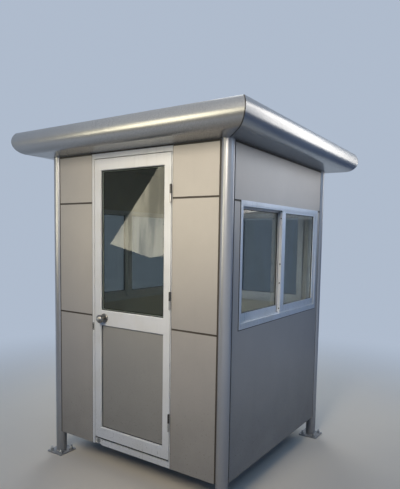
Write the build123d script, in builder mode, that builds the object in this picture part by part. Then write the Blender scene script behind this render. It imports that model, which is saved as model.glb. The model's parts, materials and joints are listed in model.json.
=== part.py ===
from build123d import *
import math
import os

# Security guard booth on four round corner posts. Millimetres, +Z up, the door side faces -Y.
# The origin is on the ground, under the middle of the plan.

# Plan over the corner posts, and the height of the walls above the ground
plan_width = 1500.0
plan_depth = 1500.0
ground_gap = 165.0

# Corner posts and foot plates
post_diameter = 76.1
post_wall = 3.2
foot_plate_size = 150.0
foot_plate_thickness = 8.0
foot_hole_spacing = 100.0
foot_hole_diameter = 18.0

# Walls
wall_setback = 12.0
wall_thickness = 50.0
cladding_thickness = 4.0
post_fit = 0.3
post_joint = 12.0
panel_joint = 12.0
soffit_joint = 12.0
left_sheet_bottom = 921.0
left_sheet_height = 761.0
right_sheet_bottom = 902.0
right_sheet_height = 792.0

# Floor
floor_beam_width = 40.0
floor_beam_height = 30.0
floor_deck_thickness = 12.0
floor_bays = 3
lining_fit = 0.5

# Roof, which falls a little from the door side to the back
eaves_overhang = 208.0
nose_radius = 88.0
nose_rise = 11.0
nose_cut_angle = 42.0
eaves_sheet = 4.0
mitre_gap = 3.0
roof_fall = 20.0
roof_lap = 60.0
roof_beam = 40.0
roof_bays = 3
roof_deck_thickness = 3.0
ceiling_thickness = 6.0

# Door opening, measured from the middle of the front wall
door_leaf_left = -323.0
door_leaf_width = 654.0
door_leaf_bottom = 46.0
door_leaf_height = 1930.0
door_leaf_thickness = 36.0
door_gap = 5.0
lock_jamb_face = 21.0
hinge_jamb_face = 6.0
head_face = 39.0
stop_lap = 12.0
sill_notch_width = 65.0
sill_notch_depth = 12.0

# Door leaf sections
stile_width = 56.0
top_rail = 75.0
middle_rail = 106.0
bottom_rail = 84.0
bead_chamfer = 4.0
groove_depth = 8.0
glass_entry = 6.0
glass_thickness = 5.0
glass_fit = 0.3

# Hinges
hinge_height = 109.0
lower_hinge_above_leaf_bottom = 253.0
middle_hinge_below_leaf_top = 904.0
upper_hinge_below_leaf_top = 248.0
knuckle_radius = 6.5
pin_radius = 3.0
pin_clearance = 0.05
hinge_axis_proud = 8.5
flap_thickness = 2.2
flap_depth = 30.0
knuckle_gap = 0.4
pin_end_gap = 3.0

# Knob and strike
knob_from_leaf_edge = 91.0
knob_height = 905.0
knob_radius = 28.0
knob_reach = 64.0
knob_neck_radius = 11.0
knob_neck_length = 17.0
rose_radius = 32.0
rose_thickness = 9.0
rose_bevel = 3.0
neck_clearance = 0.5
spindle_radius = 6.0
spindle_clearance = 2.0
strike_width = 14.0
strike_height = 52.0
strike_thickness = 1.5
strike_below_knob = 67.0

# Windows: outer size of the flange, and how far it stays from the ends of the cladding
window_height = 772.0
window_bottom = 916.0
window_front_margin = 72.0
window_back_margin = 46.0
flange_lap = 12.0
flange_proud = 3.0
frame_face = 24.0
sill_face = 35.0
frame_depth = 60.0
frame_fit = 0.5
track_rib = 2.0
track_rib_height = 9.0
rail_width = 3.0
rail_height = 8.0
rail_fit = 0.4
sash_thickness = 23.0
sash_side_gap = 2.0
sash_head_gap = 3.0
sash_floor_gap = 1.0
sash_stile = 36.0
meeting_stile = 54.0
sash_bottom_rail = 50.0
sash_top_rail = 20.0
sash_groove = 8.0
pane_entry = 6.0
pane_thickness = 5.0

# Worked out from the sizes above
post_radius = post_diameter / 2
half_width = plan_width / 2
half_depth = plan_depth / 2
wall_height = door_leaf_bottom + door_leaf_height + door_gap + head_face
wall_x = half_width - wall_setback
wall_y = half_depth - wall_setback
post_x = half_width - post_radius
post_y = half_depth - post_radius
wall_top = ground_gap + wall_height
core_thickness = wall_thickness - cladding_thickness
inner_x = wall_x - wall_thickness
inner_y = wall_y - wall_thickness
post_contact = math.sqrt(post_radius**2 - (post_radius - wall_setback) ** 2)
cladding_half_x = post_x - post_contact - post_joint
cladding_half_y = post_y - post_contact - post_joint
post_places = [(x, y) for x in (-post_x, post_x) for y in (-post_y, post_y)]
roof_fall_angle = math.degrees(math.atan(roof_fall / (2 * wall_y)))
roof_hinge_line = Axis((0, -wall_y, wall_top), (1, 0, 0))
roof_underside = Plane(origin=(0, -wall_y, wall_top)).rotated((-roof_fall_angle, 0, 0))

front_plane = Plane(origin=(0, -wall_y, ground_gap), x_dir=(1, 0, 0), z_dir=(0, -1, 0))
back_plane = Plane(origin=(0, wall_y, ground_gap), x_dir=(-1, 0, 0), z_dir=(0, 1, 0))
left_plane = Plane(origin=(-wall_x, 0, ground_gap), x_dir=(0, -1, 0), z_dir=(-1, 0, 0))
right_plane = Plane(origin=(wall_x, 0, ground_gap), x_dir=(0, 1, 0), z_dir=(1, 0, 0))

os.makedirs("parts", exist_ok=True)


def save(part, name):
    part.label = name
    export_step(part, f"parts/{name}.step")


def rectangle(left, right, bottom, top, mode=Mode.ADD):
    """A rectangle in the current sketch, given by its four edges."""
    with Locations(((left + right) / 2, (bottom + top) / 2)):
        Rectangle(right - left, top - bottom, mode=mode)


def cut_round_posts(bottom, height):
    """Scribe the current part round the four corner posts."""
    with BuildSketch(Plane.XY.offset(bottom)) as circles:
        with Locations(*post_places):
            Circle(post_radius + post_fit)
    extrude(circles.sketch, amount=height, mode=Mode.SUBTRACT)


def trim_to_roof(clearance=0.0):
    """Cut the top of the current part off along the falling underside of the roof."""
    split(bisect_by=roof_underside.offset(-clearance), keep=Keep.BOTTOM)


# Corner posts: round steel tubes that run down into bolted foot plates
for side, x in (("left", -post_x), ("right", post_x)):
    for end, y in (("front", -post_y), ("back", post_y)):
        with BuildPart() as post:
            with BuildSketch(Plane.XY):
                with Locations((x, y)):
                    RectangleRounded(foot_plate_size, foot_plate_size, foot_plate_thickness)
                    with GridLocations(foot_hole_spacing, foot_hole_spacing, 2, 2):
                        Circle(foot_hole_diameter / 2, mode=Mode.SUBTRACT)
            extrude(amount=foot_plate_thickness)
            with BuildSketch(Plane.XY.offset(foot_plate_thickness)):
                with Locations((x, y)):
                    Circle(post_radius)
                    Circle(post_radius - post_wall, mode=Mode.SUBTRACT)
            extrude(amount=wall_top - foot_plate_thickness)
            trim_to_roof()
        save(post.part, f"{end}_{side}_post")


# Floor: a frame of steel tube between the walls with a deck on it
floor_bay = (2 * inner_y - (floor_bays + 1) * floor_beam_width) / floor_bays
with BuildPart() as floor_frame:
    with BuildSketch(Plane.XY.offset(ground_gap)):
        Rectangle(2 * (inner_x - lining_fit), 2 * (inner_y - lining_fit))
        with GridLocations(0, floor_bay + floor_beam_width, 1, floor_bays):
            Rectangle(2 * (inner_x - floor_beam_width), floor_bay, mode=Mode.SUBTRACT)
    extrude(amount=floor_beam_height)
    cut_round_posts(ground_gap, floor_beam_height)
save(floor_frame.part, "floor_frame")

deck_bottom = ground_gap + floor_beam_height
with BuildPart() as floor_deck:
    with BuildSketch(Plane.XY.offset(deck_bottom)):
        Rectangle(2 * (inner_x - lining_fit), 2 * (inner_y - lining_fit))
    extrude(amount=floor_deck_thickness)
    cut_round_posts(deck_bottom, floor_deck_thickness)
save(floor_deck.part, "floor_deck")


# Roof: two rings of square tube on short uprights, with a flat deck above and a ceiling below.
# It is drawn level and then turned about the top of the front wall to its fall.
nose_centre_out = eaves_overhang - nose_radius
nose_centre_height = nose_rise + nose_radius
eaves_height = nose_centre_height + nose_radius * math.sin(math.radians(nose_cut_angle))
deck_top = wall_top + eaves_height - eaves_sheet
upper_ring_top = deck_top - roof_deck_thickness
lower_ring_bottom = wall_top + eaves_sheet
upright_height = upper_ring_top - lower_ring_bottom - 2 * roof_beam
ring_x = wall_x - roof_beam / 2 - cladding_thickness
ring_y = wall_y - roof_beam / 2 - cladding_thickness
roof_bay = (2 * ring_y - roof_bays * roof_beam) / roof_bays


def save_at_fall(part, name):
    save(part.rotate(roof_hinge_line, -roof_fall_angle), name)


def roof_ring(bottom):
    """One ring of roof tube with joists across it."""
    with BuildSketch(Plane.XY.offset(bottom)) as ring:
        Rectangle(2 * ring_x + roof_beam, 2 * ring_y + roof_beam)
        with GridLocations(0, roof_bay + roof_beam, 1, roof_bays):
            Rectangle(2 * ring_x - roof_beam, roof_bay, mode=Mode.SUBTRACT)
    extrude(ring.sketch, amount=roof_beam)


with BuildPart() as roof_frame:
    roof_ring(lower_ring_bottom)
    roof_ring(upper_ring_top - roof_beam)
    with BuildSketch(Plane.XY.offset(lower_ring_bottom + roof_beam)):
        with GridLocations(2 * ring_x, roof_bay + roof_beam, 2, roof_bays + 1):
            Rectangle(roof_beam, roof_beam)
    extrude(amount=upright_height)
save_at_fall(roof_frame.part, "roof_frame")

with BuildPart() as roof_deck:
    with BuildSketch(Plane.XY.offset(upper_ring_top)):
        Rectangle(2 * wall_x, 2 * wall_y)
    extrude(amount=roof_deck_thickness)
save_at_fall(roof_deck.part, "roof_deck")

with BuildPart() as ceiling:
    with BuildSketch(Plane.XY.offset(lower_ring_bottom - ceiling_thickness)):
        Rectangle(2 * (inner_x - lining_fit), 2 * (inner_y - lining_fit))
    extrude(amount=ceiling_thickness)
    cut_round_posts(lower_ring_bottom - ceiling_thickness, ceiling_thickness)
save_at_fall(ceiling.part, "ceiling")


# Eaves: four lengths of sheet bent to a rising soffit, a round nose and a flat top, mitred together
def eaves_profile():
    """The bent sheet seen from its end: x is out from the wall face, y is up from the wall top."""
    centre = (nose_centre_out, nose_centre_height)
    cut_x = nose_centre_out + nose_radius * math.cos(math.radians(nose_cut_angle))
    inner_radius = nose_radius - eaves_sheet
    inner_top = eaves_height - eaves_sheet
    inner_angle = math.degrees(math.asin((inner_top - nose_centre_height) / inner_radius))
    inner_x = nose_centre_out + inner_radius * math.cos(math.radians(inner_angle))
    with BuildLine() as outline:
        Polyline((-wall_thickness, 0), (0, 0), (nose_centre_out, nose_rise))
        CenterArc(centre, nose_radius, -90, 90 + nose_cut_angle)
        Polyline(
            (cut_x, eaves_height),
            (-roof_lap, eaves_height),
            (-roof_lap, inner_top),
            (inner_x, inner_top),
        )
        CenterArc(centre, inner_radius, -90, 90 + inner_angle)
        Polyline(
            (nose_centre_out, nose_rise + eaves_sheet),
            (0, eaves_sheet),
            (-wall_thickness, eaves_sheet),
            (-wall_thickness, 0),
        )
    make_face(outline.edges())


def eaves_length(plane, run_half):
    """A length of eaves along a wall, its ends cut on the 45 degree mitres."""
    wall_head = plane.origin + plane.y_dir * wall_height
    corner = run_half + eaves_overhang - mitre_gap / math.sqrt(2)
    mitre_depth = eaves_overhang + roof_lap
    with BuildPart() as length:
        with BuildSketch(Plane(wall_head, x_dir=plane.z_dir, z_dir=-plane.x_dir)):
            eaves_profile()
        extrude(amount=corner, both=True)
        with BuildSketch(Plane(wall_head, x_dir=plane.x_dir, z_dir=plane.y_dir)):
            with BuildLine():
                Polyline(
                    (-corner, -eaves_overhang),
                    (corner, -eaves_overhang),
                    (corner - mitre_depth, roof_lap),
                    (mitre_depth - corner, roof_lap),
                    close=True,
                )
            make_face()
        extrude(amount=eaves_height, mode=Mode.INTERSECT)
    return length.part


save_at_fall(eaves_length(front_plane, wall_x), "front_fascia")
save_at_fall(eaves_length(back_plane, wall_x), "back_fascia")
save_at_fall(eaves_length(left_plane, wall_y), "left_fascia")
save_at_fall(eaves_length(right_plane, wall_y), "right_fascia")


# Cladding: flat sheets with open joints between them and beside the posts
window_top = window_bottom + window_height
hole_bottom = window_bottom + flange_lap
hole_top = window_top - flange_lap
side_window_width = 2 * cladding_half_y - window_front_margin - window_back_margin
back_window_width = 2 * cladding_half_x - window_front_margin - window_back_margin
side_window_shift = (window_front_margin - window_back_margin) / 2


def cut_window_hole(centre, width):
    """Take a window's hole out of the current sketch."""
    half_hole = width / 2 - flange_lap
    rectangle(centre - half_hole, centre + half_hole, hole_bottom, hole_top, mode=Mode.SUBTRACT)


def front_cladding(left, right, middle_bottom, middle_height):
    """Three sheets one above the other beside the door."""
    middle_top = middle_bottom + middle_height
    with BuildPart() as sheets:
        with BuildSketch(front_plane):
            rectangle(left, right, 0, middle_bottom - panel_joint)
            rectangle(left, right, middle_bottom, middle_top)
            rectangle(left, right, middle_top + panel_joint, wall_height)
        extrude(amount=-cladding_thickness)
        trim_to_roof(soffit_joint)
    return sheets.part


def window_cladding(plane, half_length, window):
    """A tall sheet cut out for a window, and one above it that starts at the window's head."""
    with BuildPart() as sheets:
        with BuildSketch(plane):
            rectangle(-half_length, half_length, 0, window_top - panel_joint)
            rectangle(-half_length, half_length, window_top, wall_height)
            cut_window_hole(*window)
        extrude(amount=-cladding_thickness)
        trim_to_roof(soffit_joint)
    return sheets.part


def wall_core(plane, left, right, window=None):
    """The framed and lined wall behind the cladding, scribed to the posts and cut for a window."""
    with BuildPart() as core:
        with BuildSketch(plane.offset(-cladding_thickness)):
            rectangle(left, right, 0, wall_height)
            if window is not None:
                cut_window_hole(*window)
        extrude(amount=-core_thickness)
        cut_round_posts(ground_gap, wall_height)
        trim_to_roof()
    return core.part


core_end_x = post_x - post_radius / 2
core_end_y = post_y - post_radius / 2
frame_left = door_leaf_left - door_gap - lock_jamb_face
leaf_right = door_leaf_left + door_leaf_width
frame_right = leaf_right + door_gap + hinge_jamb_face
left_window = (-side_window_shift, side_window_width)
right_window = (side_window_shift, side_window_width)
back_window = (0, back_window_width)

save(wall_core(front_plane, -core_end_x, frame_left), "front_wall_left")
save(wall_core(front_plane, frame_right, core_end_x), "front_wall_right")
save(wall_core(left_plane, -core_end_y, core_end_y, left_window), "left_wall")
save(wall_core(right_plane, -core_end_y, core_end_y, right_window), "right_wall")
save(wall_core(back_plane, -core_end_x, core_end_x, back_window), "back_wall")

left_sheet = (left_sheet_bottom, left_sheet_height)
right_sheet = (right_sheet_bottom, right_sheet_height)
save(front_cladding(-cladding_half_x, frame_left, *left_sheet), "front_cladding_left")
save(front_cladding(frame_right, cladding_half_x, *right_sheet), "front_cladding_right")
save(window_cladding(left_plane, cladding_half_y, left_window), "left_cladding")
save(window_cladding(right_plane, cladding_half_y, right_window), "right_cladding")
save(window_cladding(back_plane, cladding_half_x, back_window), "back_cladding")


# Sliding windows: a frame with two tracks, an outer sash on the right and an inner sash on the left
clear_bottom = window_bottom + sill_face
clear_top = window_top - frame_face
track_depth = (frame_depth - 3 * track_rib) / 2
sash_bottom = clear_bottom + sash_floor_gap
sash_top = clear_top - sash_head_gap
pane_bottom = sash_bottom + sash_bottom_rail
pane_top = sash_top - sash_top_rail
outer_sash_depth = track_rib + (track_depth - sash_thickness) / 2
inner_sash_depth = outer_sash_depth + track_depth + track_rib


def window_frame(plane, centre, width):
    """Flange on the cladding, a box through the wall, ribs between the tracks and two sill rails."""
    left = centre - width / 2 + frame_face
    right = centre + width / 2 - frame_face
    body_half = width / 2 - flange_lap - frame_fit
    with BuildPart() as frame:
        with BuildSketch(plane.offset(flange_proud)):
            rectangle(centre - width / 2, centre + width / 2, window_bottom, window_top)
            rectangle(left, right, clear_bottom, clear_top, mode=Mode.SUBTRACT)
        extrude(amount=-flange_proud)
        with BuildSketch(plane):
            body_bottom = hole_bottom + frame_fit
            rectangle(centre - body_half, centre + body_half, body_bottom, hole_top - frame_fit)
            rectangle(left, right, clear_bottom, clear_top, mode=Mode.SUBTRACT)
        extrude(amount=-frame_depth)
        for rib in range(3):
            with BuildSketch(plane.offset(-rib * (track_depth + track_rib))):
                rectangle(left, right, clear_bottom, clear_top)
                rib_right = right - track_rib_height
                rib_top = clear_top - track_rib_height
                rectangle(left + track_rib_height, rib_right, clear_bottom, rib_top, mode=Mode.SUBTRACT)
            extrude(amount=-track_rib)
        for depth in (outer_sash_depth, inner_sash_depth):
            with BuildSketch(plane.offset(-depth - (sash_thickness - rail_width) / 2)):
                rectangle(left, right, clear_bottom, clear_bottom + rail_height)
            extrude(amount=-rail_width)
    return frame.part


def sash(plane, left, right, depth, stiles):
    """A sash with a glazing groove inside and a slot underneath that sits over its rail."""
    pane_left = left + stiles[0]
    pane_right = right - stiles[1]
    half_groove = pane_thickness / 2 + glass_fit
    middle_plane = plane.offset(-depth - sash_thickness / 2)
    with BuildPart() as body:
        with BuildSketch(plane.offset(-depth)):
            rectangle(left, right, sash_bottom, sash_top)
            rectangle(pane_left, pane_right, pane_bottom, pane_top, mode=Mode.SUBTRACT)
        extrude(amount=-sash_thickness)
        with BuildSketch(middle_plane):
            groove_left = pane_left - sash_groove
            groove_right = pane_right + sash_groove
            rectangle(groove_left, groove_right, pane_bottom - sash_groove, pane_top + sash_groove)
        extrude(amount=half_groove, both=True, mode=Mode.SUBTRACT)
        with BuildSketch(middle_plane):
            rectangle(left, right, sash_bottom, clear_bottom + rail_height + rail_fit)
        extrude(amount=rail_width / 2 + rail_fit, both=True, mode=Mode.SUBTRACT)
    return body.part


def panes(plane, sashes):
    """The two sheets of glass, each seated in the bottom of its sash's groove."""
    with BuildPart() as glass:
        for left, right, depth, stiles in sashes:
            with BuildSketch(plane.offset(-depth - sash_thickness / 2)):
                pane_left = left + stiles[0] - pane_entry
                pane_right = right - stiles[1] + pane_entry
                rectangle(pane_left, pane_right, pane_bottom - sash_groove, pane_top + pane_entry)
            extrude(amount=pane_thickness / 2, both=True)
    return glass.part


for name, plane, (centre, width) in (
    ("left", left_plane, left_window),
    ("right", right_plane, right_window),
    ("back", back_plane, back_window),
):
    track_left = centre - width / 2 + frame_face + sash_side_gap
    track_right = centre + width / 2 - frame_face - sash_side_gap
    outer_left = centre - meeting_stile / 2
    inner_right = centre + meeting_stile / 2
    outer = (outer_left, track_right, outer_sash_depth, (meeting_stile, sash_stile))
    inner = (track_left, inner_right, inner_sash_depth, (sash_stile, meeting_stile))
    save(window_frame(plane, centre, width), f"{name}_window_frame")
    save(sash(plane, *outer), f"{name}_window_outer_sash")
    save(sash(plane, *inner), f"{name}_window_inner_sash")
    save(panes(plane, (outer, inner)), f"{name}_window_glass")


# Door frame: jambs and a head with a stop behind the leaf, and a sill between the jambs
leaf_top = door_leaf_bottom + door_leaf_height
head_bottom = leaf_top + door_gap
stop_front = door_leaf_thickness + door_gap
sill_top = door_leaf_bottom - door_gap
with BuildPart() as door_frame:
    with BuildSketch(front_plane):
        rectangle(frame_left, frame_right, 0, wall_height)
        opening_left = door_leaf_left - door_gap
        rectangle(opening_left, leaf_right + door_gap, 0, head_bottom, mode=Mode.SUBTRACT)
    extrude(amount=-wall_thickness)
    with BuildSketch(front_plane.offset(-stop_front)):
        rectangle(frame_left, frame_right, 0, wall_height)
        stop_left = door_leaf_left + stop_lap
        rectangle(stop_left, leaf_right - stop_lap, 0, leaf_top - stop_lap, mode=Mode.SUBTRACT)
    extrude(amount=-(wall_thickness - stop_front))
    trim_to_roof()
save(door_frame.part, "door_frame")

with BuildPart() as door_sill:
    with BuildSketch(front_plane):
        rectangle(door_leaf_left - door_gap, leaf_right + door_gap, 0, sill_top)
    extrude(amount=-stop_front)
    with BuildSketch(front_plane.offset(-stop_front)):
        rectangle(door_leaf_left + stop_lap, leaf_right - stop_lap, 0, sill_top)
    extrude(amount=-(wall_thickness - stop_front))
    with BuildSketch(front_plane):
        rectangle(opening_left, opening_left + sill_notch_width, 0, sill_top)
    extrude(amount=-sill_notch_depth, mode=Mode.SUBTRACT)
save(door_sill.part, "door_sill")

with BuildPart() as strike_plate:
    with BuildSketch(front_plane):
        with Locations((frame_left + lock_jamb_face / 2, knob_height - strike_below_knob)):
            RectangleRounded(strike_width, strike_height, strike_width / 4)
    extrude(amount=strike_thickness)
save(strike_plate.part, "strike_plate")


# Door leaf: stiles and rails round a glass pane and a lower panel, both held in grooves
light_left = door_leaf_left + stile_width
light_right = leaf_right - stile_width
glass_bottom = knob_height + middle_rail / 2
glass_top = leaf_top - top_rail
panel_bottom = door_leaf_bottom + bottom_rail
panel_top = knob_height - middle_rail / 2
knob_x = door_leaf_left + knob_from_leaf_edge
leaf_middle = front_plane.offset(-door_leaf_thickness / 2)
with BuildPart() as door_leaf:
    with BuildSketch(front_plane):
        rectangle(door_leaf_left, leaf_right, door_leaf_bottom, leaf_top)
        rectangle(light_left, light_right, glass_bottom, glass_top, mode=Mode.SUBTRACT)
        rectangle(light_left, light_right, panel_bottom, panel_top, mode=Mode.SUBTRACT)
        with Locations((knob_x, knob_height)):
            Circle(spindle_radius + spindle_clearance, mode=Mode.SUBTRACT)
    extrude(amount=-door_leaf_thickness)
    holes = [wire for face in door_leaf.faces().filter_by(Axis.Y) for wire in face.inner_wires()]
    rims = [edge for wire in holes for edge in wire.edges().filter_by(GeomType.LINE)]
    chamfer(rims, bead_chamfer)
    with BuildSketch(leaf_middle):
        groove_left = light_left - groove_depth
        groove_right = light_right + groove_depth
        rectangle(groove_left, groove_right, glass_bottom - groove_depth, glass_top + groove_depth)
        rectangle(groove_left, groove_right, panel_bottom - groove_depth, panel_top + groove_depth)
    extrude(amount=glass_thickness / 2 + glass_fit, both=True, mode=Mode.SUBTRACT)
save(door_leaf.part, "door_leaf")

for name, bottom, top in (("door_glass", glass_bottom, glass_top), ("door_panel", panel_bottom, panel_top)):
    with BuildPart() as infill:
        with BuildSketch(leaf_middle):
            infill_left = light_left - glass_entry
            infill_right = light_right + glass_entry
            rectangle(infill_left, infill_right, bottom - groove_depth, top + glass_entry)
        extrude(amount=glass_thickness / 2, both=True)
    save(infill.part, name)


# Hinges: the lower knuckle and its pin are on the jamb, the upper knuckle is on the leaf
hinge_x = leaf_right + door_gap / 2
hinge_y = -wall_y - hinge_axis_proud
leaf_bottom_z = ground_gap + door_leaf_bottom
leaf_top_z = ground_gap + leaf_top
hinge_heights = (
    leaf_bottom_z + lower_hinge_above_leaf_bottom,
    leaf_top_z - middle_hinge_below_leaf_top,
    leaf_top_z - upper_hinge_below_leaf_top,
)


def hinge_half(bottom, height, flap_left, flap_right, bore):
    """A knuckle at the given height with the flap that lies in the gap beside the leaf."""
    with BuildSketch(Plane.XY.offset(bottom)) as section:
        with Locations((hinge_x, hinge_y)):
            Circle(knuckle_radius)
        rectangle(flap_left, flap_right, hinge_y, -wall_y + flap_depth)
        with Locations((hinge_x, hinge_y)):
            Circle(bore, mode=Mode.SUBTRACT)
    extrude(section.sketch, amount=height)


half_hinge = hinge_height / 2
with BuildPart() as hinge_fixed:
    for height in hinge_heights:
        bottom = height - half_hinge
        jamb_side = leaf_right + door_gap
        hinge_half(bottom, half_hinge - knuckle_gap, jamb_side - flap_thickness, jamb_side, pin_radius)
        with BuildSketch(Plane.XY.offset(bottom)):
            with Locations((hinge_x, hinge_y)):
                Circle(pin_radius)
        extrude(amount=hinge_height - pin_end_gap)
save(hinge_fixed.part, "hinge_jamb_halves")

with BuildPart() as hinge_moving:
    for height in hinge_heights:
        bore = pin_radius + pin_clearance
        hinge_half(height, half_hinge, leaf_right, leaf_right + flap_thickness, bore)
save(hinge_moving.part, "hinge_leaf_halves")


# Knob set: a rose on each face of the leaf, and two knobs on one spindle
knob_centre = (knob_x, knob_height)
with BuildPart() as roses:
    for face, outward in ((0, rose_thickness), (-door_leaf_thickness, -rose_thickness)):
        with BuildSketch(front_plane.offset(face)):
            with Locations(knob_centre):
                Circle(rose_radius)
                Circle(knob_neck_radius + neck_clearance, mode=Mode.SUBTRACT)
        extrude(amount=outward)
    rims = roses.edges().filter_by(GeomType.CIRCLE).group_by(SortBy.RADIUS)[-1].sort_by(Axis.Y)
    chamfer((rims[0], rims[-1]), rose_bevel)
save(roses.part, "knob_roses")

# Half outline of one knob: x is out from its axis, y is out from the face of the leaf
knob_plane = Plane((knob_x, -wall_y, ground_gap + knob_height), x_dir=(1, 0, 0), z_dir=(0, 0, -1))
knob_base = rose_thickness + knob_neck_length
knob_depth = knob_reach - knob_base
with BuildPart() as knob:
    with BuildSketch(knob_plane):
        with BuildLine():
            Line((0, neck_clearance), (0, knob_reach))
            Spline(
                (0, knob_reach),
                (knob_radius * 0.72, knob_reach - knob_depth * 0.14),
                (knob_radius, knob_reach - knob_depth * 0.46),
                (knob_radius * 0.8, knob_reach - knob_depth * 0.84),
                (knob_neck_radius, knob_base),
                tangents=[(1, 0), (-1, -0.4)],
            )
            Line((knob_neck_radius, knob_base), (knob_neck_radius, neck_clearance))
            Line((knob_neck_radius, neck_clearance), (0, neck_clearance))
        make_face()
    revolve(axis=Axis(knob_plane.origin, (0, 1, 0)))
    mirror(about=Plane.XZ.offset(wall_y - door_leaf_thickness / 2))
    with BuildSketch(front_plane.offset(neck_clearance)):
        with Locations(knob_centre):
            Circle(spindle_radius)
    extrude(amount=-(door_leaf_thickness + 2 * neck_clearance))
save(knob.part, "door_knob")
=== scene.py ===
"""Looks of a security guard booth: its finishes, small fasteners, seals and studio."""

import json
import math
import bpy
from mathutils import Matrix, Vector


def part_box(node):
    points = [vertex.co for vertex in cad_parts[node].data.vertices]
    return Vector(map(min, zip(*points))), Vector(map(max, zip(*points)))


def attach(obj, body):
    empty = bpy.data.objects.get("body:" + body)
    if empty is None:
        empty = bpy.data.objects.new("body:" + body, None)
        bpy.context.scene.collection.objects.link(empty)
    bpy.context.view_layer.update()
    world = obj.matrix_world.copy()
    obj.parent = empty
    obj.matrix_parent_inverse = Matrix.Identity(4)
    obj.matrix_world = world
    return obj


bl_info = {
    "name": "Guard booth looks",
    "version": (1, 1, 0),
    "blender": (4, 5, 0),
    "location": "3D View > Sidebar > Booth",
    "description": "Finishes, fasteners, seals and studio for a small guard booth",
    "category": "Object",
}

import bpy
import numpy as np
from bpy.props import FloatProperty, FloatVectorProperty, IntProperty, PointerProperty
from mathutils import Matrix, Vector

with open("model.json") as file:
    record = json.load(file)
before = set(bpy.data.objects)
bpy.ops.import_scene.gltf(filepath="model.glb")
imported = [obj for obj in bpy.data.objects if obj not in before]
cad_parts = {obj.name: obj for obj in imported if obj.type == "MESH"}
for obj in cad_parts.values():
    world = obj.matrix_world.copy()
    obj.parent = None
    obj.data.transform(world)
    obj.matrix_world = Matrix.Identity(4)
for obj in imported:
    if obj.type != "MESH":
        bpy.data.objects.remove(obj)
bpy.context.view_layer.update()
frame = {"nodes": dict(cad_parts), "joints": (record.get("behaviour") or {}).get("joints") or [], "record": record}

UP = np.array([0.0, 0.0, 1.0])
# A millimetre: places nearer to each other than this count as one.
TOUCH = 0.001


def corners(node):
    """Lowest and highest corner of a CAD node, as arrays in metres."""
    low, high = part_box(node)
    return np.array(low), np.array(high)


def points_of(node):
    """All the points of a CAD node's mesh, in metres."""
    mesh = frame["nodes"][node].data
    flat = np.empty(3 * len(mesh.vertices))
    mesh.vertices.foreach_get("co", flat)
    return flat.reshape(-1, 3)


def joint_named(name):
    """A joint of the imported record, by its name."""
    return next(joint for joint in frame["joints"] if joint["name"] == name)


def levels_of(node):
    """The distinct heights of a CAD node's points, to a hundredth of a millimetre, lowest first."""
    return np.unique(np.round(points_of(node)[:, 2], 5))


class Wall:
    """A wall's own directions: along it to the right as seen from outside, up, and out from its face."""

    def __init__(self, run, outward, node):
        self.run = np.array(run, float)
        self.outward = np.array(outward, float)
        low, high = corners(node)
        self.face = max(low @ self.outward, high @ self.outward)

    def at(self, along, height, out=0.0):
        """The point at a distance along the wall, a height above the ground and a distance out."""
        return self.run * along + self.outward * (self.face + out) + UP * height

    def extent(self, node):
        """A node's left and right end along the wall, its foot and head, and its reach out of the face."""
        low, high = corners(node)
        left, right = sorted((low @ self.run, high @ self.run))
        behind, before = sorted((low @ self.outward - self.face, high @ self.outward - self.face))
        return left, right, low[2], high[2], behind, before


WALLS = {
    "front": Wall((1, 0, 0), (0, -1, 0), "front_cladding_left"),
    "back": Wall((-1, 0, 0), (0, 1, 0), "back_cladding"),
    "left": Wall((0, -1, 0), (-1, 0, 0), "left_cladding"),
    "right": Wall((0, 1, 0), (1, 0, 0), "right_cladding"),
}
CLADDING = (
    ("front", "front_cladding_left"),
    ("front", "front_cladding_right"),
    ("back", "back_cladding"),
    ("left", "left_cladding"),
    ("right", "right_cladding"),
)
WINDOWS = ("left", "right", "back")
POSTS = ("front_left_post", "front_right_post", "back_left_post", "back_right_post")


def roof_slope():
    """The fall of the roof as a share of the depth, from the top of its deck."""
    deck = points_of("roof_deck")
    front, back = deck[:, 1].min(), deck[:, 1].max()
    front_top = deck[deck[:, 1] < front + TOUCH, 2].max()
    back_top = deck[deck[:, 1] > back - TOUCH, 2].max()
    return (front_top - back_top) / (back - front)


FRONT_Y = -WALLS["front"].face
WALL_TOP = corners("door_frame")[1][2]
FALL = math.atan(roof_slope())


def roof_line(point):
    """The height of the walls' top at a point, which falls towards the back."""
    return WALL_TOP - (point[1] - FRONT_Y) * math.tan(FALL)


def fallen(points):
    """Points of a level roof turned to its fall, about the top edge of the front wall."""
    depth = points[:, 1] - FRONT_Y
    rise = points[:, 2] - WALL_TOP
    turned = np.array(points, float)
    turned[:, 1] = FRONT_Y + depth * math.cos(FALL) + rise * math.sin(FALL)
    turned[:, 2] = WALL_TOP - depth * math.sin(FALL) + rise * math.cos(FALL)
    return turned


def colour_property(name, description, default):
    """A colour setting shown with a swatch."""
    return FloatVectorProperty(
        name=name, description=description, default=default, subtype="COLOR", size=3, min=0.0, max=1.0
    )


def length_property(name, description, default):
    """A length setting in metres."""
    return FloatProperty(name=name, description=description, default=default, min=0.0, unit="LENGTH")


def power_property(name, description, default):
    """A lamp's power in watts."""
    return FloatProperty(name=name, description=description, default=default, min=0.0, unit="POWER")


def angle_property(name, description, degrees):
    """An angle setting, given here in degrees."""
    return FloatProperty(name=name, description=description, default=math.radians(degrees), unit="ROTATION")


def number_property(name, description, default):
    """A plain number, such as a card's strength."""
    return FloatProperty(name=name, description=description, default=default)


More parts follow.
